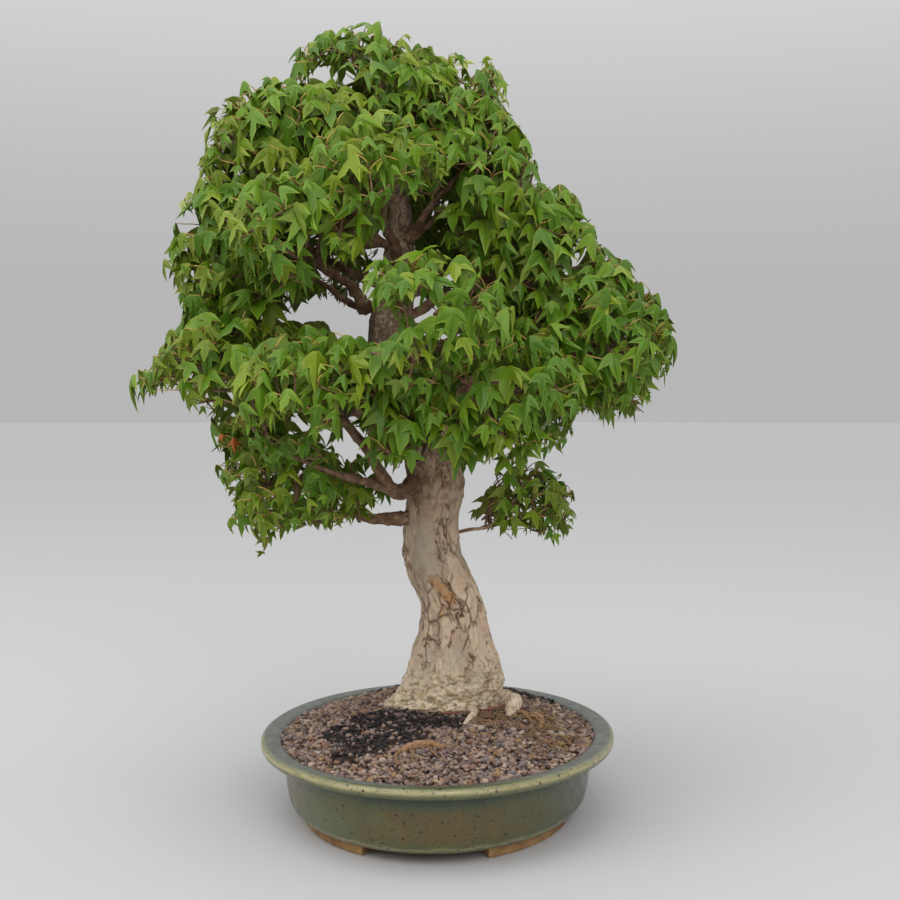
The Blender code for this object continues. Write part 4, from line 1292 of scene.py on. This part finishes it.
def bendLeaf(points, droop, fold, side, twist, width, wave):
    bent = points.copy()
    x, y, z = points.T
    bent[:, 2] = z - droop * y**2 * 0.8 + fold * np.abs(x) - side * x**2
    bent[:, 2] += twist * x * y + wave * np.sin(y * 11 + np.sign(x) * 1.3) * np.abs(x)
    # keep its length as it bends down
    bent[:, 1] = y * (1 - 0.22 * droop * y)
    bent[:, 0] = x * width * (1 - 0.25 * abs(fold))
    return bent


# how the leaves hang: lengths in metres, angles in degrees
foliageShape = {
    "spacing": 0.0192,
    # places tried for the twig ends of a mass, and for each leaf, which gets smaller each time
    "tries": 9000,
    "leafTries": 5,
    "shrink": 0.12,
    "shell": (0.30, 0.82),
    "openCore": 0.046,
    "openUnder": 0.35,
    "openInside": 0.30,
    "limbRoom": 0.004,
    "pathWeight": 0.45,
    # twigs start at these shares of a bough or a finer bough, and at these heights on the trunk
    "boughStarts": (0.55, 0.66, 0.77, 0.88, 0.985),
    "fineStarts": (0.5, 0.75, 0.985),
    "trunkStarts": (0.600, 0.622, 0.644, 0.666),
    "twigRadius": 0.00085,
    "twigSwell": 0.40,
    "twigSides": 5,
    "shoot": (0.007, 0.016),
    "petiole": (0.012, 0.025),
    "petioleRadius": 0.00055,
    # how much of a stalk rises, and how much of it runs out
    "stalk": (0.6, 0.4),
    "blade": (0.0195, 0.0405),
    "bladeSkew": 1.25,
    "droop": (24, 89),
    # leaves in the top of the tree hang less
    "topFrom": 0.66,
    "topLift": 20,
    "roll": 30,
    # leaves face away from the mass's centre and the tree's middle line, up to a height, and rise
    "middle": (0.50, 0.03),
    "outward": (0.6, 0.7),
    "facing": (0.5, 1.3),
    "rise": 0.55,
    "stray": 0.38,
    "strayTint": 0.35,
    "tintSizes": {"young": 0.85, "red": 0.80},
    "nodeMargin": 0.009,
    "fewest": 2,
    # how far past the masses a share of the leaves may reach
    "farBeyond": 0.0060,
    "farShare": 0.20,
    "limbGap": 0.002,
    "leafRoom": 0.0072,
    "boxRoom": 0.008,
    "crossing": 0.26,
    "sharpFrom": 55,
}
# sky seen between the leaves and past them: x, y, z and radius of each gap
skyGaps = [
    (-0.0862, -0.0453, 0.4925, 0.012), (-0.0740, -0.0440, 0.4860, 0.009),
    (-0.1045, -0.0453, 0.4850, 0.008), (-0.1200, -0.0453, 0.4900, 0.007),
    (-0.1280, -0.0100, 0.3740, 0.008), (-0.1120, -0.0100, 0.3790, 0.008),
    (-0.0560, -0.0100, 0.3830, 0.007), (-0.0630, -0.0100, 0.3520, 0.009),
    (-0.0850, -0.0100, 0.3660, 0.007), (-0.0890, 0.0100, 0.5480, 0.007), (0.0330, 0.0200, 0.5880, 0.006),
    (0.0400, 0.0200, 0.6120, 0.005), (0.0400, 0.0200, 0.5380, 0.006), (-0.0451, -0.0930, 0.3689, 0.009),
    (-0.190, 0.006, 0.408, 0.007), (-0.188, 0.006, 0.393, 0.006), (-0.090, 0.013, 0.740, 0.008),
    (-0.066, 0.014, 0.742, 0.006), (0.064, 0.022, 0.745, 0.006), (0.159, 0.028, 0.553, 0.006),
    (-0.150, 0.008, 0.491, 0.007), (-0.099, 0.011, 0.569, 0.006),
]
# bays in the outline, where the solid masses reach a little further than the leaves do
outlineBays = [
    (-0.255, 0.004, 0.369, 0.033), (-0.105, 0.013, 0.235, 0.034), (-0.068, 0.016, 0.235, 0.034),
    (-0.122, 0.012, 0.230, 0.032), (0.224, 0.034, 0.581, 0.029), (0.203, 0.033, 0.618, 0.029),
    (0.161, 0.030, 0.659, 0.030), (0.136, 0.029, 0.721, 0.034), (0.141, 0.029, 0.688, 0.022),
    (0.261, 0.036, 0.544, 0.027), (-0.292, 0.002, 0.477, 0.034), (-0.254, 0.004, 0.494, 0.016),
    (-0.230, 0.006, 0.364, 0.022), (-0.209, 0.007, 0.297, 0.019), (-0.251, 0.004, 0.394, 0.017),
    (-0.229, 0.006, 0.585, 0.010), (-0.262, 0.004, 0.581, 0.016), (-0.241, 0.005, 0.672, 0.028),
    (0.121, 0.028, 0.230, 0.032), (0.091, 0.026, 0.239, 0.023), (0.070, 0.024, 0.314, 0.010),
    (0.183, 0.032, 0.377, 0.014), (0.291, 0.038, 0.427, 0.021), (0.295, 0.039, 0.510, 0.029),
    (0.271, 0.037, 0.377, 0.032), (0.312, 0.040, 0.469, 0.033),
]
# the trunk shows here: only leaves in front of it stay away
trunkWindows = [
    (-0.0190, -0.0611, 0.4770, 0.014), (-0.0047, -0.0204, 0.5645, 0.021),
    (-0.0060, -0.0150, 0.5950, 0.015),
]
# stretches of the boughs that show: bough, from which share of its length to which
boughWindows = [
    ("front_left", 0.0, 0.72), ("lower_left", 0.0, 0.80), ("left", 0.38, 0.85), ("upper_left", 0.05, 0.75),
    ("upper_right", 0.0, 0.60), ("right_upper", 0.25, 0.95), ("low_right", 0.0, 0.45), ("right", 0.22, 0.90),
    ("lowLimb", 0.1, 0.8), ("crossLimb", 0.0, 0.8), ("leftLimb", 0.1, 0.8),
]
# finer boughs, from a share of a bough's length through the points given, in the same mass or another
fineBoughs = {
    "lowLimb": {"from": "front_left", "where": 0.52, "thick": 0.0052,
                "through": [(-0.062, -0.080, 0.3330), (-0.094, -0.115, 0.3490)]},
    "uprightLimb": {"from": "front_left", "where": 0.45, "thick": 0.0032,
                    "through": [(-0.030, -0.085, 0.352), (-0.026, -0.100, 0.380)]},
    "underLimb": {"from": "lower_left", "where": 0.96, "thick": 0.0036,
                  "through": [(-0.082, -0.020, 0.2820), (-0.104, -0.034, 0.2860)]},
    "crossLimb": {"from": "upper_right", "where": 0.22, "mass": "top_right", "thick": 0.0045,
                  "through": [(0.020, 0.000, 0.600), (0.050, -0.004, 0.634), (0.064, 0.000, 0.655)]},
    "leftLimb": {"from": "upper_left", "where": 0.30, "thick": 0.0042,
                 "through": [(-0.052, 0.005, 0.566), (-0.084, -0.006, 0.590), (-0.112, -0.012, 0.612)]},
    "rightLimb": {"from": "right_upper", "where": 0.80, "thick": 0.0038,
                  "through": [(0.086, -0.002, 0.535), (0.112, -0.008, 0.545)]},
    "risingLimb": {"from": "right_upper", "where": 0.72, "mass": "upper_right", "thick": 0.0032,
                   "through": [(0.066, 0.000, 0.552), (0.068, -0.006, 0.578)]},
    "farLimb": {"from": "right", "where": 0.94, "thick": 0.0040,
                "through": [(0.170, -0.004, 0.448), (0.205, -0.010, 0.458)]},
}
# each tint: face, margin and underside
leafTints = {
    "deep": [(0.067, 0.152, 0.007), (0.118, 0.205, 0.010), (0.128, 0.200, 0.026)],
    "mid": [(0.090, 0.186, 0.007), (0.150, 0.236, 0.011), (0.148, 0.226, 0.029)],
    "bright": [(0.120, 0.220, 0.008), (0.192, 0.270, 0.014), (0.176, 0.250, 0.034)],
    "yellow": [(0.160, 0.230, 0.011), (0.240, 0.288, 0.018), (0.218, 0.270, 0.040)],
    "olive": [(0.120, 0.184, 0.008), (0.200, 0.245, 0.014), (0.180, 0.228, 0.030)],
    "young": [(0.300, 0.355, 0.085), (0.370, 0.400, 0.115), (0.340, 0.375, 0.125)],
    "red": [(0.400, 0.105, 0.020), (0.440, 0.165, 0.030), (0.380, 0.145, 0.050)],
}
youngPlaces = [
    {"at": (0.0753, 0.0248, 0.7428), "radius": 0.034, "tint": "young"},
    {"at": (-0.2361, -0.0249, 0.6042), "radius": 0.035, "tint": "young"},
    {"at": (-0.1879, -0.0219, 0.6982), "radius": 0.024, "tint": "young"},
    {"at": (-0.1835, -0.0514, 0.3758), "radius": 0.020, "tint": "red"},
]


# the middle of the tree, which the foliage faces away from
treeMiddle = (0, 0.02, 0.45)
greenTints = ["deep", "mid", "bright", "yellow"]
# their shares low in the tree and what comes to them towards its top, and olive's on the left and low
tintShares = {"low": (0.30, 0.42, 0.22, 0.06), "upward": (-0.10, -0.06, 0.10, 0.06),
              "oliveLeft": 0.30, "oliveLow": 0.45}


def massField(points, mass):
    offset = points - np.array(mass["at"])
    flattened = (offset[:, 2] * flatness) ** 2
    return offset[:, 0] ** 2 + offset[:, 1] ** 2 + flattened - mass["radius"] ** 2


def inCell(points, name, slack):
    own = massField(points, masses[name])
    inside = own < slack * (2 * masses[name]["radius"] + slack)
    for other, mass in masses.items():
        if other != name:
            apart = (mass["at"] - masses[name]["at"]).length
            inside &= massField(points, mass) - own > -2 * apart * slack
    return inside


def inAnyMass(points, slack):
    inside = np.zeros(len(points), bool)
    for mass in masses.values():
        inside |= massField(points, mass) < slack * (2 * mass["radius"] + slack)
    return inside


def limbSpheres(paths):
    # the limbs as rows of balls, to keep twigs and leaves out of them
    balls = []
    for height in np.arange(trunkRows[0][0], trunkRows[-1][0], 0.006):
        x, y, radius = splineAt(trunkRows, height)
        balls.append((x, y, height, radius * 1.04))
    for name, path in paths.items():
        rows = pathRows(path)
        balls += [(*splineAt(rows, share), limbRadius(name, share)) for share in np.linspace(0, 1, 26)]
    return np.array(balls)


def limbClearance(points, balls):
    away = np.linalg.norm(points[:, None, :] - balls[None, :, :3], axis=2) - balls[None, :, 3]
    return away.min(axis=1)


def sightCones(paths):
    # from the camera to each gap, window and bough that shows: direction, spread, how far it reaches, kind
    eye = np.array(cameraSetup["place"])
    spots = [(gap[:3], gap[3], 9, 0) for gap in skyGaps + outlineBays]
    spots += [(gap[:3], gap[3], 0.03, 0) for gap in trunkWindows]
    for name, first, last in boughWindows:
        rows = pathRows(paths[name])
        for share in np.linspace(first, last, 16):
            spots.append((splineAt(rows, share), limbRadius(name, share) + 0.0030, -0.004, 1))
    places = np.array([spot[0] for spot in spots])
    depth = np.linalg.norm(places - eye, axis=1)
    return {
        "eye": eye,
        "sight": unit(places - eye),
        "spread": np.array([spot[1] for spot in spots]) / depth,
        "reach": depth + np.array([spot[2] for spot in spots]),
        "soft": np.array([spot[3] for spot in spots], bool),
    }


def inGap(points, cones, crossing=False, margin=0.0):
    # crossing leaves may pass in front of a bough, but not into a gap; twigs keep a margin from both
    away = points - cones["eye"]
    along = away @ cones["sight"].T
    beside = np.sqrt(np.maximum((away**2).sum(axis=1)[:, None] - along**2, 0))
    hidden = (beside < cones["spread"] * along + margin) & (along < cones["reach"])
    if crossing:
        hidden &= ~cones["soft"]
    return hidden.any(axis=1)


def chooseNodes(name, rng, balls, cones):
    # free places in the mass, closer together near its outside and top than inside and underneath
    mass = masses[name]
    rule = foliageShape
    found = rng.uniform(-1, 1, (rule["tries"], 3))
    length = np.linalg.norm(found, axis=1)
    first, last = mass.get("shell", rule["shell"])
    found = found[(length > first) & (length < last)]
    points = np.array(mass["at"]) + mass["radius"] * found * (1, 1, 1 / flatness)
    trunkLine = np.array([splineAt(trunkRows, min(z, trunkRows[-1][0]))[:2] for z in points[:, 2]])
    fromTrunk = np.linalg.norm(points[:, :2] - trunkLine, axis=1)
    keep = inCell(points, name, 0.001) & (limbClearance(points, balls) > rule["limbRoom"])
    keep &= ~inGap(points, cones, True, rule["nodeMargin"]) & ~inGap(points, cones)
    keep &= (fromTrunk > rule["openCore"]) | (points[:, 2] > rule["topFrom"])
    points, found = points[keep], found[keep]
    facing = found @ unit(np.array(mass["at"]) - treeMiddle)
    sparse = 1.40 - 0.5 * np.linalg.norm(found, axis=1)
    sparse += rule["openUnder"] * np.clip(-found[:, 2] - 0.1, 0, 1)
    sparse += rule["openInside"] * np.clip(-facing - 0.2, 0, 1)
    chosen = []
    for point, room in zip(points, sparse * mass.get("spacing", rule["spacing"])):
        if all((point - other) @ (point - other) > room**2 for other in chosen):
            chosen.append(point)
    return np.array(chosen)


def growTwigs(roots, nodes):
    # joins the nodes to the limbs' points, each by a short twig whose way back is short too
    points = list(roots)
    parents, ways = [-1] * len(roots), [0] * len(roots)
    left = list(range(len(nodes)))
    distance = np.linalg.norm(nodes[:, None] - np.array(roots)[None], axis=2)
    link = distance.argmin(axis=1)
    best = distance.min(axis=1)
    while left:
        pick = min(left, key=lambda k: best[k])
        left.remove(pick)
        points.append(nodes[pick])
        parents.append(int(link[pick]))
        ways.append(ways[parents[-1]] + np.linalg.norm(nodes[pick] - points[parents[-1]]))
        cost = np.linalg.norm(nodes - nodes[pick], axis=1) + foliageShape["pathWeight"] * ways[-1]
        closer = cost < best
        best[closer] = cost[closer]
        link[closer] = len(points) - 1
    return np.array(points), parents


def tubeArrays(path, radii, sides):
    # a closed tube of a few sides: points and faces as lists of corners
    path = np.asarray(path)
    along = unit(np.gradient(path, axis=0))
    across = acrossPath(along)
    rings = []
    angles = np.arange(sides) * math.tau / sides
    for point, side, other, radius in zip(path, across, np.cross(along, across), radii):
        rings.append(point + radius * (np.outer(np.cos(angles), side) + np.outer(np.sin(angles), other)))
    faces = []
    for i in range(len(path) - 1):
        for k in range(sides):
            a, b = i * sides + k, i * sides + (k + 1) % sides
            faces.append((a, b, b + sides, a + sides))
    faces.append(tuple(reversed(range(sides))))
    faces.append(tuple(range((len(path) - 1) * sides, len(path) * sides)))
    return np.concatenate(rings), faces


def plainArrays(points, faces, slot=0):
    # corner numbers of all faces, corners per face and slots, from faces as lists
    return (points, np.concatenate([list(face) for face in faces]),
            np.array([len(face) for face in faces]), np.full(len(faces), slot))


class Bundle:
    # collects small meshes and joins them into one piece
    def __init__(self):
        self.points, self.loops, self.sizes, self.slots, self.count = [], [], [], [], 0

    def add(self, points, faces, slot=0):
        self.addArrays(*plainArrays(points, faces, slot))

    def addArrays(self, points, loops, sizes, slots):
        self.points.append(points)
        self.loops.append(loops + self.count)
        self.sizes.append(sizes)
        self.slots.append(slots)
        self.count += len(points)

    def triangles(self):
        return int(sum((sizes - 2).sum() for sizes in self.sizes))

    def make(self, name, materials):
        return meshFromArrays(name, np.concatenate(self.points), np.concatenate(self.loops),
                              np.concatenate(self.sizes), np.concatenate(self.slots), materials)


def curvedTwig(start, end, leave, rng, steps=5):
    # from start to end, leaving along the parent's heading, a little crooked
    length = np.linalg.norm(end - start)
    t = np.linspace(0, 1, steps)[:, None]
    middle = start + leave * length * 0.42
    path = (1 - t) ** 2 * start + 2 * (1 - t) * t * middle + t**2 * end
    wobble = rng.normal(0, 0.022 * length, (steps, 3))
    wobble[[0, -1]] = 0
    return path + wobble


def pickTint(rng, place):
    for spot in youngPlaces:
        if np.linalg.norm(place - np.array(spot["at"])) < spot["radius"]:
            return spot["tint"]
    top = np.clip((place[2] - 0.45) / 0.3, 0, 1)
    olive = tintShares["oliveLeft"] * np.clip((-0.09 - place[0]) / 0.08, 0, 1)
    olive += tintShares["oliveLow"] * np.clip((0.37 - place[2]) / 0.06, 0, 1)
    if rng.random() < olive:
        return "olive"
    return rng.choice(greenTints, p=np.array(tintShares["low"]) + np.array(tintShares["upward"]) * top)


def limbPoints(name, paths):
    # places along the limbs of a mass where its twigs may start, and the limb's radius there
    starts = [(name, foliageShape["boughStarts"])] if name in paths else []
    starts += [(limb, foliageShape["fineStarts"]) for limb, fine in fineBoughs.items()
               if fine.get("mass", fine["from"]) == name]
    roots, radii = [], []
    if name not in paths:
        for height in (*foliageShape["trunkStarts"], trunkRows[-1][0] - 0.001):
            x, y, radius = splineAt(trunkRows, height)
            roots.append(np.array((x, y, height)))
            radii.append(radius)
    for limb, shares in starts:
        rows = pathRows(paths[limb])
        roots += [np.array(splineAt(rows, share)) for share in shares]
        radii += [limbRadius(limb, share) for share in shares]
    return roots, radii


def growMass(name, paths, balls, cones, placed, bundles, leafKinds, seed):
    rng = np.random.default_rng(seed)
    rule = foliageShape
    nodes = chooseNodes(name, rng, balls, cones)
    roots, rootRadii = limbPoints(name, paths)
    points, parents = growTwigs(roots, nodes)
    centre = np.array(masses[name]["at"])
    headings = [unit(point - centre + (0, 0, 0.05)) for point in roots]
    for i in range(len(roots), len(points)):
        headings.append(unit(unit(points[i] - points[parents[i]]) + 0.5 * unit(points[i] - centre)))
    sprays = [[] for _ in roots]
    for i in range(len(roots), len(points)):
        sprays.append(growSpray(name, points[i], headings[i], rng, balls, cones, placed, leafKinds))
    # a twig end that found room for hardly a leaf, and carries nothing further out, is left off
    alive = [len(spray) >= rule["fewest"] for spray in sprays]
    carried = np.ones(len(points))
    for i in range(len(points) - 1, len(roots) - 1, -1):
        if alive[i]:
            alive[parents[i]] = True
            carried[parents[i]] += carried[i]
    radii = rule["twigRadius"] * carried ** rule["twigSwell"]
    radii[: len(roots)] = rootRadii
    radii = np.minimum(radii, boughShape["tipRadius"] * 0.98)
    leaves = 0
    for i in range(len(roots), len(points)):
        if alive[i]:
            for bundle, *arrays in sprays[i]:
                bundles[bundle].addArrays(*arrays)
                leaves += bundle in leafGroups
            parent = parents[i]
            leave = headings[parent]
            if parent < len(roots):
                leave = unit(unit(points[i] - points[parent]) + 0.4 * leave)
            path = curvedTwig(points[parent], points[i], leave, rng)
            taper = np.linspace(min(radii[parent], radii[i] * 1.25), radii[i], len(path))
            bundles["twigs"].add(*tubeArrays(path, taper, rule["twigSides"]))
    return sum(alive[len(roots):]), leaves


def growSpray(name, node, heading, rng, balls, cones, placed, leafKinds):
    # the young end of a twig: a short shoot with opposite pairs of leaves and one at its tip
    rule, mass = foliageShape, masses[name]
    highest, below = rule["middle"]
    fromMiddle = unit(node - (*treeMiddle[:2], min(highest, node[2] - below)))
    fromMass = unit(node - np.array(mass["at"]))
    outward = unit(rule["outward"][0] * fromMass + rule["outward"][1] * fromMiddle)
    away = unit(outward * (1, 1, 0) + (1e-6, 0, 0))
    tip = node + unit(heading + 0.4 * outward + (0, 0, 0.15)) * rng.uniform(*rule["shoot"])
    tint = pickTint(rng, node)
    side = unit(np.cross(heading, (0, 0, 1)) + rng.normal(0, 0.2, 3))
    other = unit(np.cross(heading, side))
    turn = rng.uniform(0, math.pi)
    around = [turn, turn + math.pi, turn + math.pi / 2, turn - math.pi / 2, None]
    spray, stems = [], []
    for level, angle in enumerate(around):
        base = node if level < 2 else tip
        crossing = rng.random() < rule["crossing"]
        for attempt in range(rule["leafTries"]):
            # the stalk goes up and out, and the blade hangs from its end
            spread = heading if angle is None else side * math.cos(angle) + other * math.sin(angle)
            flat = spread * (1, 1, 0) + away * rng.uniform(*rule["facing"])
            flat = unit(flat + rng.normal(0, rule["stray"], 3) * (1, 1, 0))
            length = rng.uniform(*rule["petiole"])
            rise = unit(0.7 * spread + 0.5 * heading + (0, 0, rule["rise"]))
            foot = base + rise * length * rule["stalk"][0] + flat * length * rule["stalk"][1]
            least, most = rule["blade"]
            size = (least + (most - least) * rng.random() ** rule["bladeSkew"]) * mass.get("leafSize", 1)
            size *= rule["tintSizes"].get(tint, 1) * (1 - rule["shrink"] * attempt)
            droop = rng.uniform(*rule["droop"]) - rule["topLift"] * (node[2] > rule["topFrom"])
            droop = math.radians(droop)
            along = flat * math.cos(droop) - np.array((0, 0, math.sin(droop)))
            normal = flat * math.sin(droop) + np.array((0, 0, math.cos(droop)))
            across = np.cross(along, normal)
            roll = math.radians(rng.normal(0, rule["roll"]))
            normal, across = (normal * math.cos(roll) + across * math.sin(roll),
                              across * math.cos(roll) - normal * math.sin(roll))
            shape = leafKinds[rng.integers(len(leafKinds))] * size
            blade = foot + shape[:, :1] * across + shape[:, 1:2] * along + shape[:, 2:3] * normal
            # a leaf is tried by five points of its outline
            probe = blade[leafProbe]
            middle = probe.mean(axis=0)
            beyond = rule["farBeyond"] if rng.random() < rule["farShare"] else 0
            beyond = max(beyond, mass.get("hang", 0))
            if placed.crowded(middle) or not inAnyMass(probe, beyond).all() or outsideBox(probe):
                continue
            if inGap(probe, cones, crossing).any() or limbClearance(probe, balls).min() < rule["limbGap"]:
                continue
            placed.add(middle)
            leafTint = tint
            if tint in greenTints and rng.random() < rule["strayTint"]:
                leafTint = rng.choice(greenTints)
            slot = list(leafTints).index(leafTint) * 3
            spray.append((leafGroup(name), blade, leafLoops, leafSizes, leafSlots + slot))
            stem = curvedTwig(base, foot + along * size * 0.03, rise, rng, 4)
            radii = [rule["petioleRadius"] * share for share in (1.3, 1, 1, 0.85)]
            stems.append(("petioles", *plainArrays(*tubeArrays(stem, radii, 3))))
            break
    if len(spray) < rule["fewest"]:
        return []
    path = curvedTwig(node, tip, heading, rng, 3)
    radii = [rule["twigRadius"] * share for share in (1, 0.8, 0.6)]
    return spray + stems + [("shoots", *plainArrays(*tubeArrays(path, radii, 4)))]


def outsideBox(points):
    # past the room that the leaves have round the solids' own box
    low, high = np.array(cadBox)
    room = foliageShape["boxRoom"]
    return bool(((points < low - room) | (points > high + room)).any())


class LeafCrowd:
    # keeps leaves from lying in each other
    def __init__(self, room):
        self.room, self.cells = room, {}

    def key(self, place):
        return tuple(np.floor(place / self.room).astype(int))

    def crowded(self, place):
        a, b, c = self.key(place)
        for i, j, k in np.ndindex(3, 3, 3):
            for other in self.cells.get((a + i - 1, b + j - 1, c + k - 1), ()):
                away = place - other
                if away @ away < self.room**2:
                    return True
        return False

    def add(self, place):
        self.cells.setdefault(self.key(place), []).append(place)


leafGroups = {
    "leaves_top": ["top", "top_right", "back_top", "upper_left", "upper_right", "front_upper"],
    "leaves_middle": ["left", "right_upper", "front_mid_left", "back_left", "back_right", "front"],
    "leaves_low": ["left_low", "right", "front_right", "front_left", "front_low"],
    "leaves_back": ["back_low_left", "back_low_right", "back_low", "lower_left", "low_right"],
}
# the bundles of twigs and stalks: the piece's name and the record's slot
woodPieces = {
    "twigs": ("twigs", "bark"),
    "shoots": ("young_shoots", "bark"),
    "petioles": ("leaf_stalks", "leaves"),
}


def leafGroup(name):
    return next(group for group, names in leafGroups.items() if name in names)


def makeFoliage(paths, materials):
    balls = limbSpheres(paths)
    cones = sightCones(paths)
    placed = LeafCrowd(foliageShape["leafRoom"])
    bundles = {name: Bundle() for name in (*woodPieces, *leafGroups)}
    kinds = [bendLeaf(leafPoints, *bend) for bend in leafBends]
    for number, name in enumerate(masses):
        nodes, leaves = growMass(name, paths, balls, cones, placed, bundles, kinds, 500 + number)
        print("mass", name, nodes, "twig ends,", leaves, "leaves")
    for bundle, (name, slotName) in woodPieces.items():
        piece = bundles[bundle].make(name, [materials[bundle]])
        piece.data.shade_smooth()
        if bundle == "twigs":
            setAttribute(piece, "crack", np.zeros(len(piece.data.vertices)))
        finishPiece(piece, slotName)
    for group, names in leafGroups.items():
        piece = bundles[group].make(group, materials["leaves"])
        piece.data.shade_smooth()
        piece.data.set_sharp_from_angle(angle=math.radians(foliageShape["sharpFrom"]))
        finishPiece(piece, "leaves", *["foliage_" + name for name in names])
    for name, bundle in bundles.items():
        print("bundle", name, bundle.triangles(), "triangles")


def makeLeafMaterials():
    parts = {"face": 0.40, "margin": 0.46, "underside": 0.65}
    materials = []
    for tint, colors in leafTints.items():
        for (part, roughness), color in zip(parts.items(), colors):
            materials.append(newMaterial(f"leaf_{tint}_{part}", color, roughness, Specular_IOR_Level=0.26))
    return materials


# a wide pale floor, and round it an even studio sky that starts at the floor's own brightness
stageSetup = {
    "floor": (0.48, 0.48, 0.485),
    "radius": 40,
    "nearRadius": 3,
    "sides": 96,
    "horizon": 0.47,
    "overhead": 1.14,
    "rise": (0.05, 0.75),
}


def makeStage():
    clearSelection()
    bpy.ops.mesh.primitive_circle_add(
        vertices=stageSetup["sides"], radius=stageSetup["radius"], fill_type="NGON", location=(0, 0, 0)
    )
    floor = bpy.context.object
    floor.name = "floor"
    openMesh(floor)
    bpy.ops.mesh.inset(thickness=stageSetup["radius"] - stageSetup["nearRadius"])
    closeMesh()
    floor.data.materials.append(newMaterial("plain_floor", stageSetup["floor"], 0.85))


def makeSky():
    world = bpy.data.worlds.new("studio")
    bpy.context.scene.world = world
    world.use_nodes = True
    world.node_tree.nodes["Background"].inputs["Color"].default_value = (1, 1, 1, 1)
    bench = NodeBench(world, place="Generated")
    ends = (*stageSetup["rise"], stageSetup["horizon"], stageSetup["overhead"])
    bench.join(bench.span(bench.axis("Z"), *ends), "Strength", "Background")
    bpy.context.scene.view_settings.view_transform = "Standard"


lights = {
    "overhead": {"place": (-0.6, -0.9, 2.6), "aim": (0, 0, 0.35), "size": 2.2, "power": 20},
    "front": {"place": (1.5, -4.4, 2.5), "aim": (0, 0, 0.25), "size": 2.8, "power": 76},
    "left": {"place": (-3.5, -1.9, 2.3), "aim": (0, 0, 0.30), "size": 2.6, "power": 35},
}


def makeLights():
    for name, row in lights.items():
        lamp = bpy.data.lights.new(name, "AREA")
        lamp.shape = "SQUARE"
        lamp.size = row["size"]
        lamp.energy = row["power"]
        thing = bpy.data.objects.new(name, lamp)
        thing.location = row["place"]
        toward = Vector(row["aim"]) - Vector(row["place"])
        thing.rotation_euler = toward.to_track_quat("-Z", "Y").to_euler()
        bpy.context.scene.collection.objects.link(thing)


makeCamera()
makeStage()
makeSky()
makeLights()
makePot(makeGlaze(), makeClay())
print("pot made")
makeSoilBed(newMaterial("soil_bed", grainColors["umber"], 0.95))
makeGrains([newMaterial("grain_" + name, color, 0.9) for name, color in grainColors.items()])
makeTrunk(makeTrunkBark())
print("trunk made")
paths = planBoughs()
planFineBoughs(paths)
makeBoughs(paths, [
    makeBoughBark("bough_bark", 0.20, "limb"),
    makeBoughBark("pale_bough_bark", 0.90, "root"),
])
makeRoots([
    makeBoughBark("root_bark", 0.85, "foot"),
    makeBoughBark("brown_root_bark", 0.25, "root"),
])
makeStrands([
    newMaterial("brown_strand", (0.240, 0.130, 0.055), 0.8),
    newMaterial("red_strand", (0.210, 0.062, 0.035), 0.6),
    newMaterial("ochre_fibre", (0.290, 0.200, 0.078), 0.85),
])
leafPoints, leafLoops, leafSizes, leafSlots = modelLeaf()
# the points of a leaf by which its place is tried: near the foot, the three tips and the middle lobe
leafProbe = [int(np.argmin(((leafPoints - spot) ** 2).sum(axis=1)))
             for spot in ((0, 0.15, 0), (0.59, 0.56, 0), (-0.59, 0.56, 0), (0, 1, 0), (0, 0.62, 0))]
print("leaf:", len(leafPoints), "points,", int((leafSizes - 2).sum()), "triangles")
makeFoliage(paths, {
    "twigs": makeBoughBark("twig_bark", 0.05, "collar"),
    "shoots": newMaterial("young_wood", (0.190, 0.080, 0.038), 0.6),
    "petioles": newMaterial("leaf_stalk", (0.480, 0.310, 0.080), 0.5),
    "leaves": makeLeafMaterials(),
})
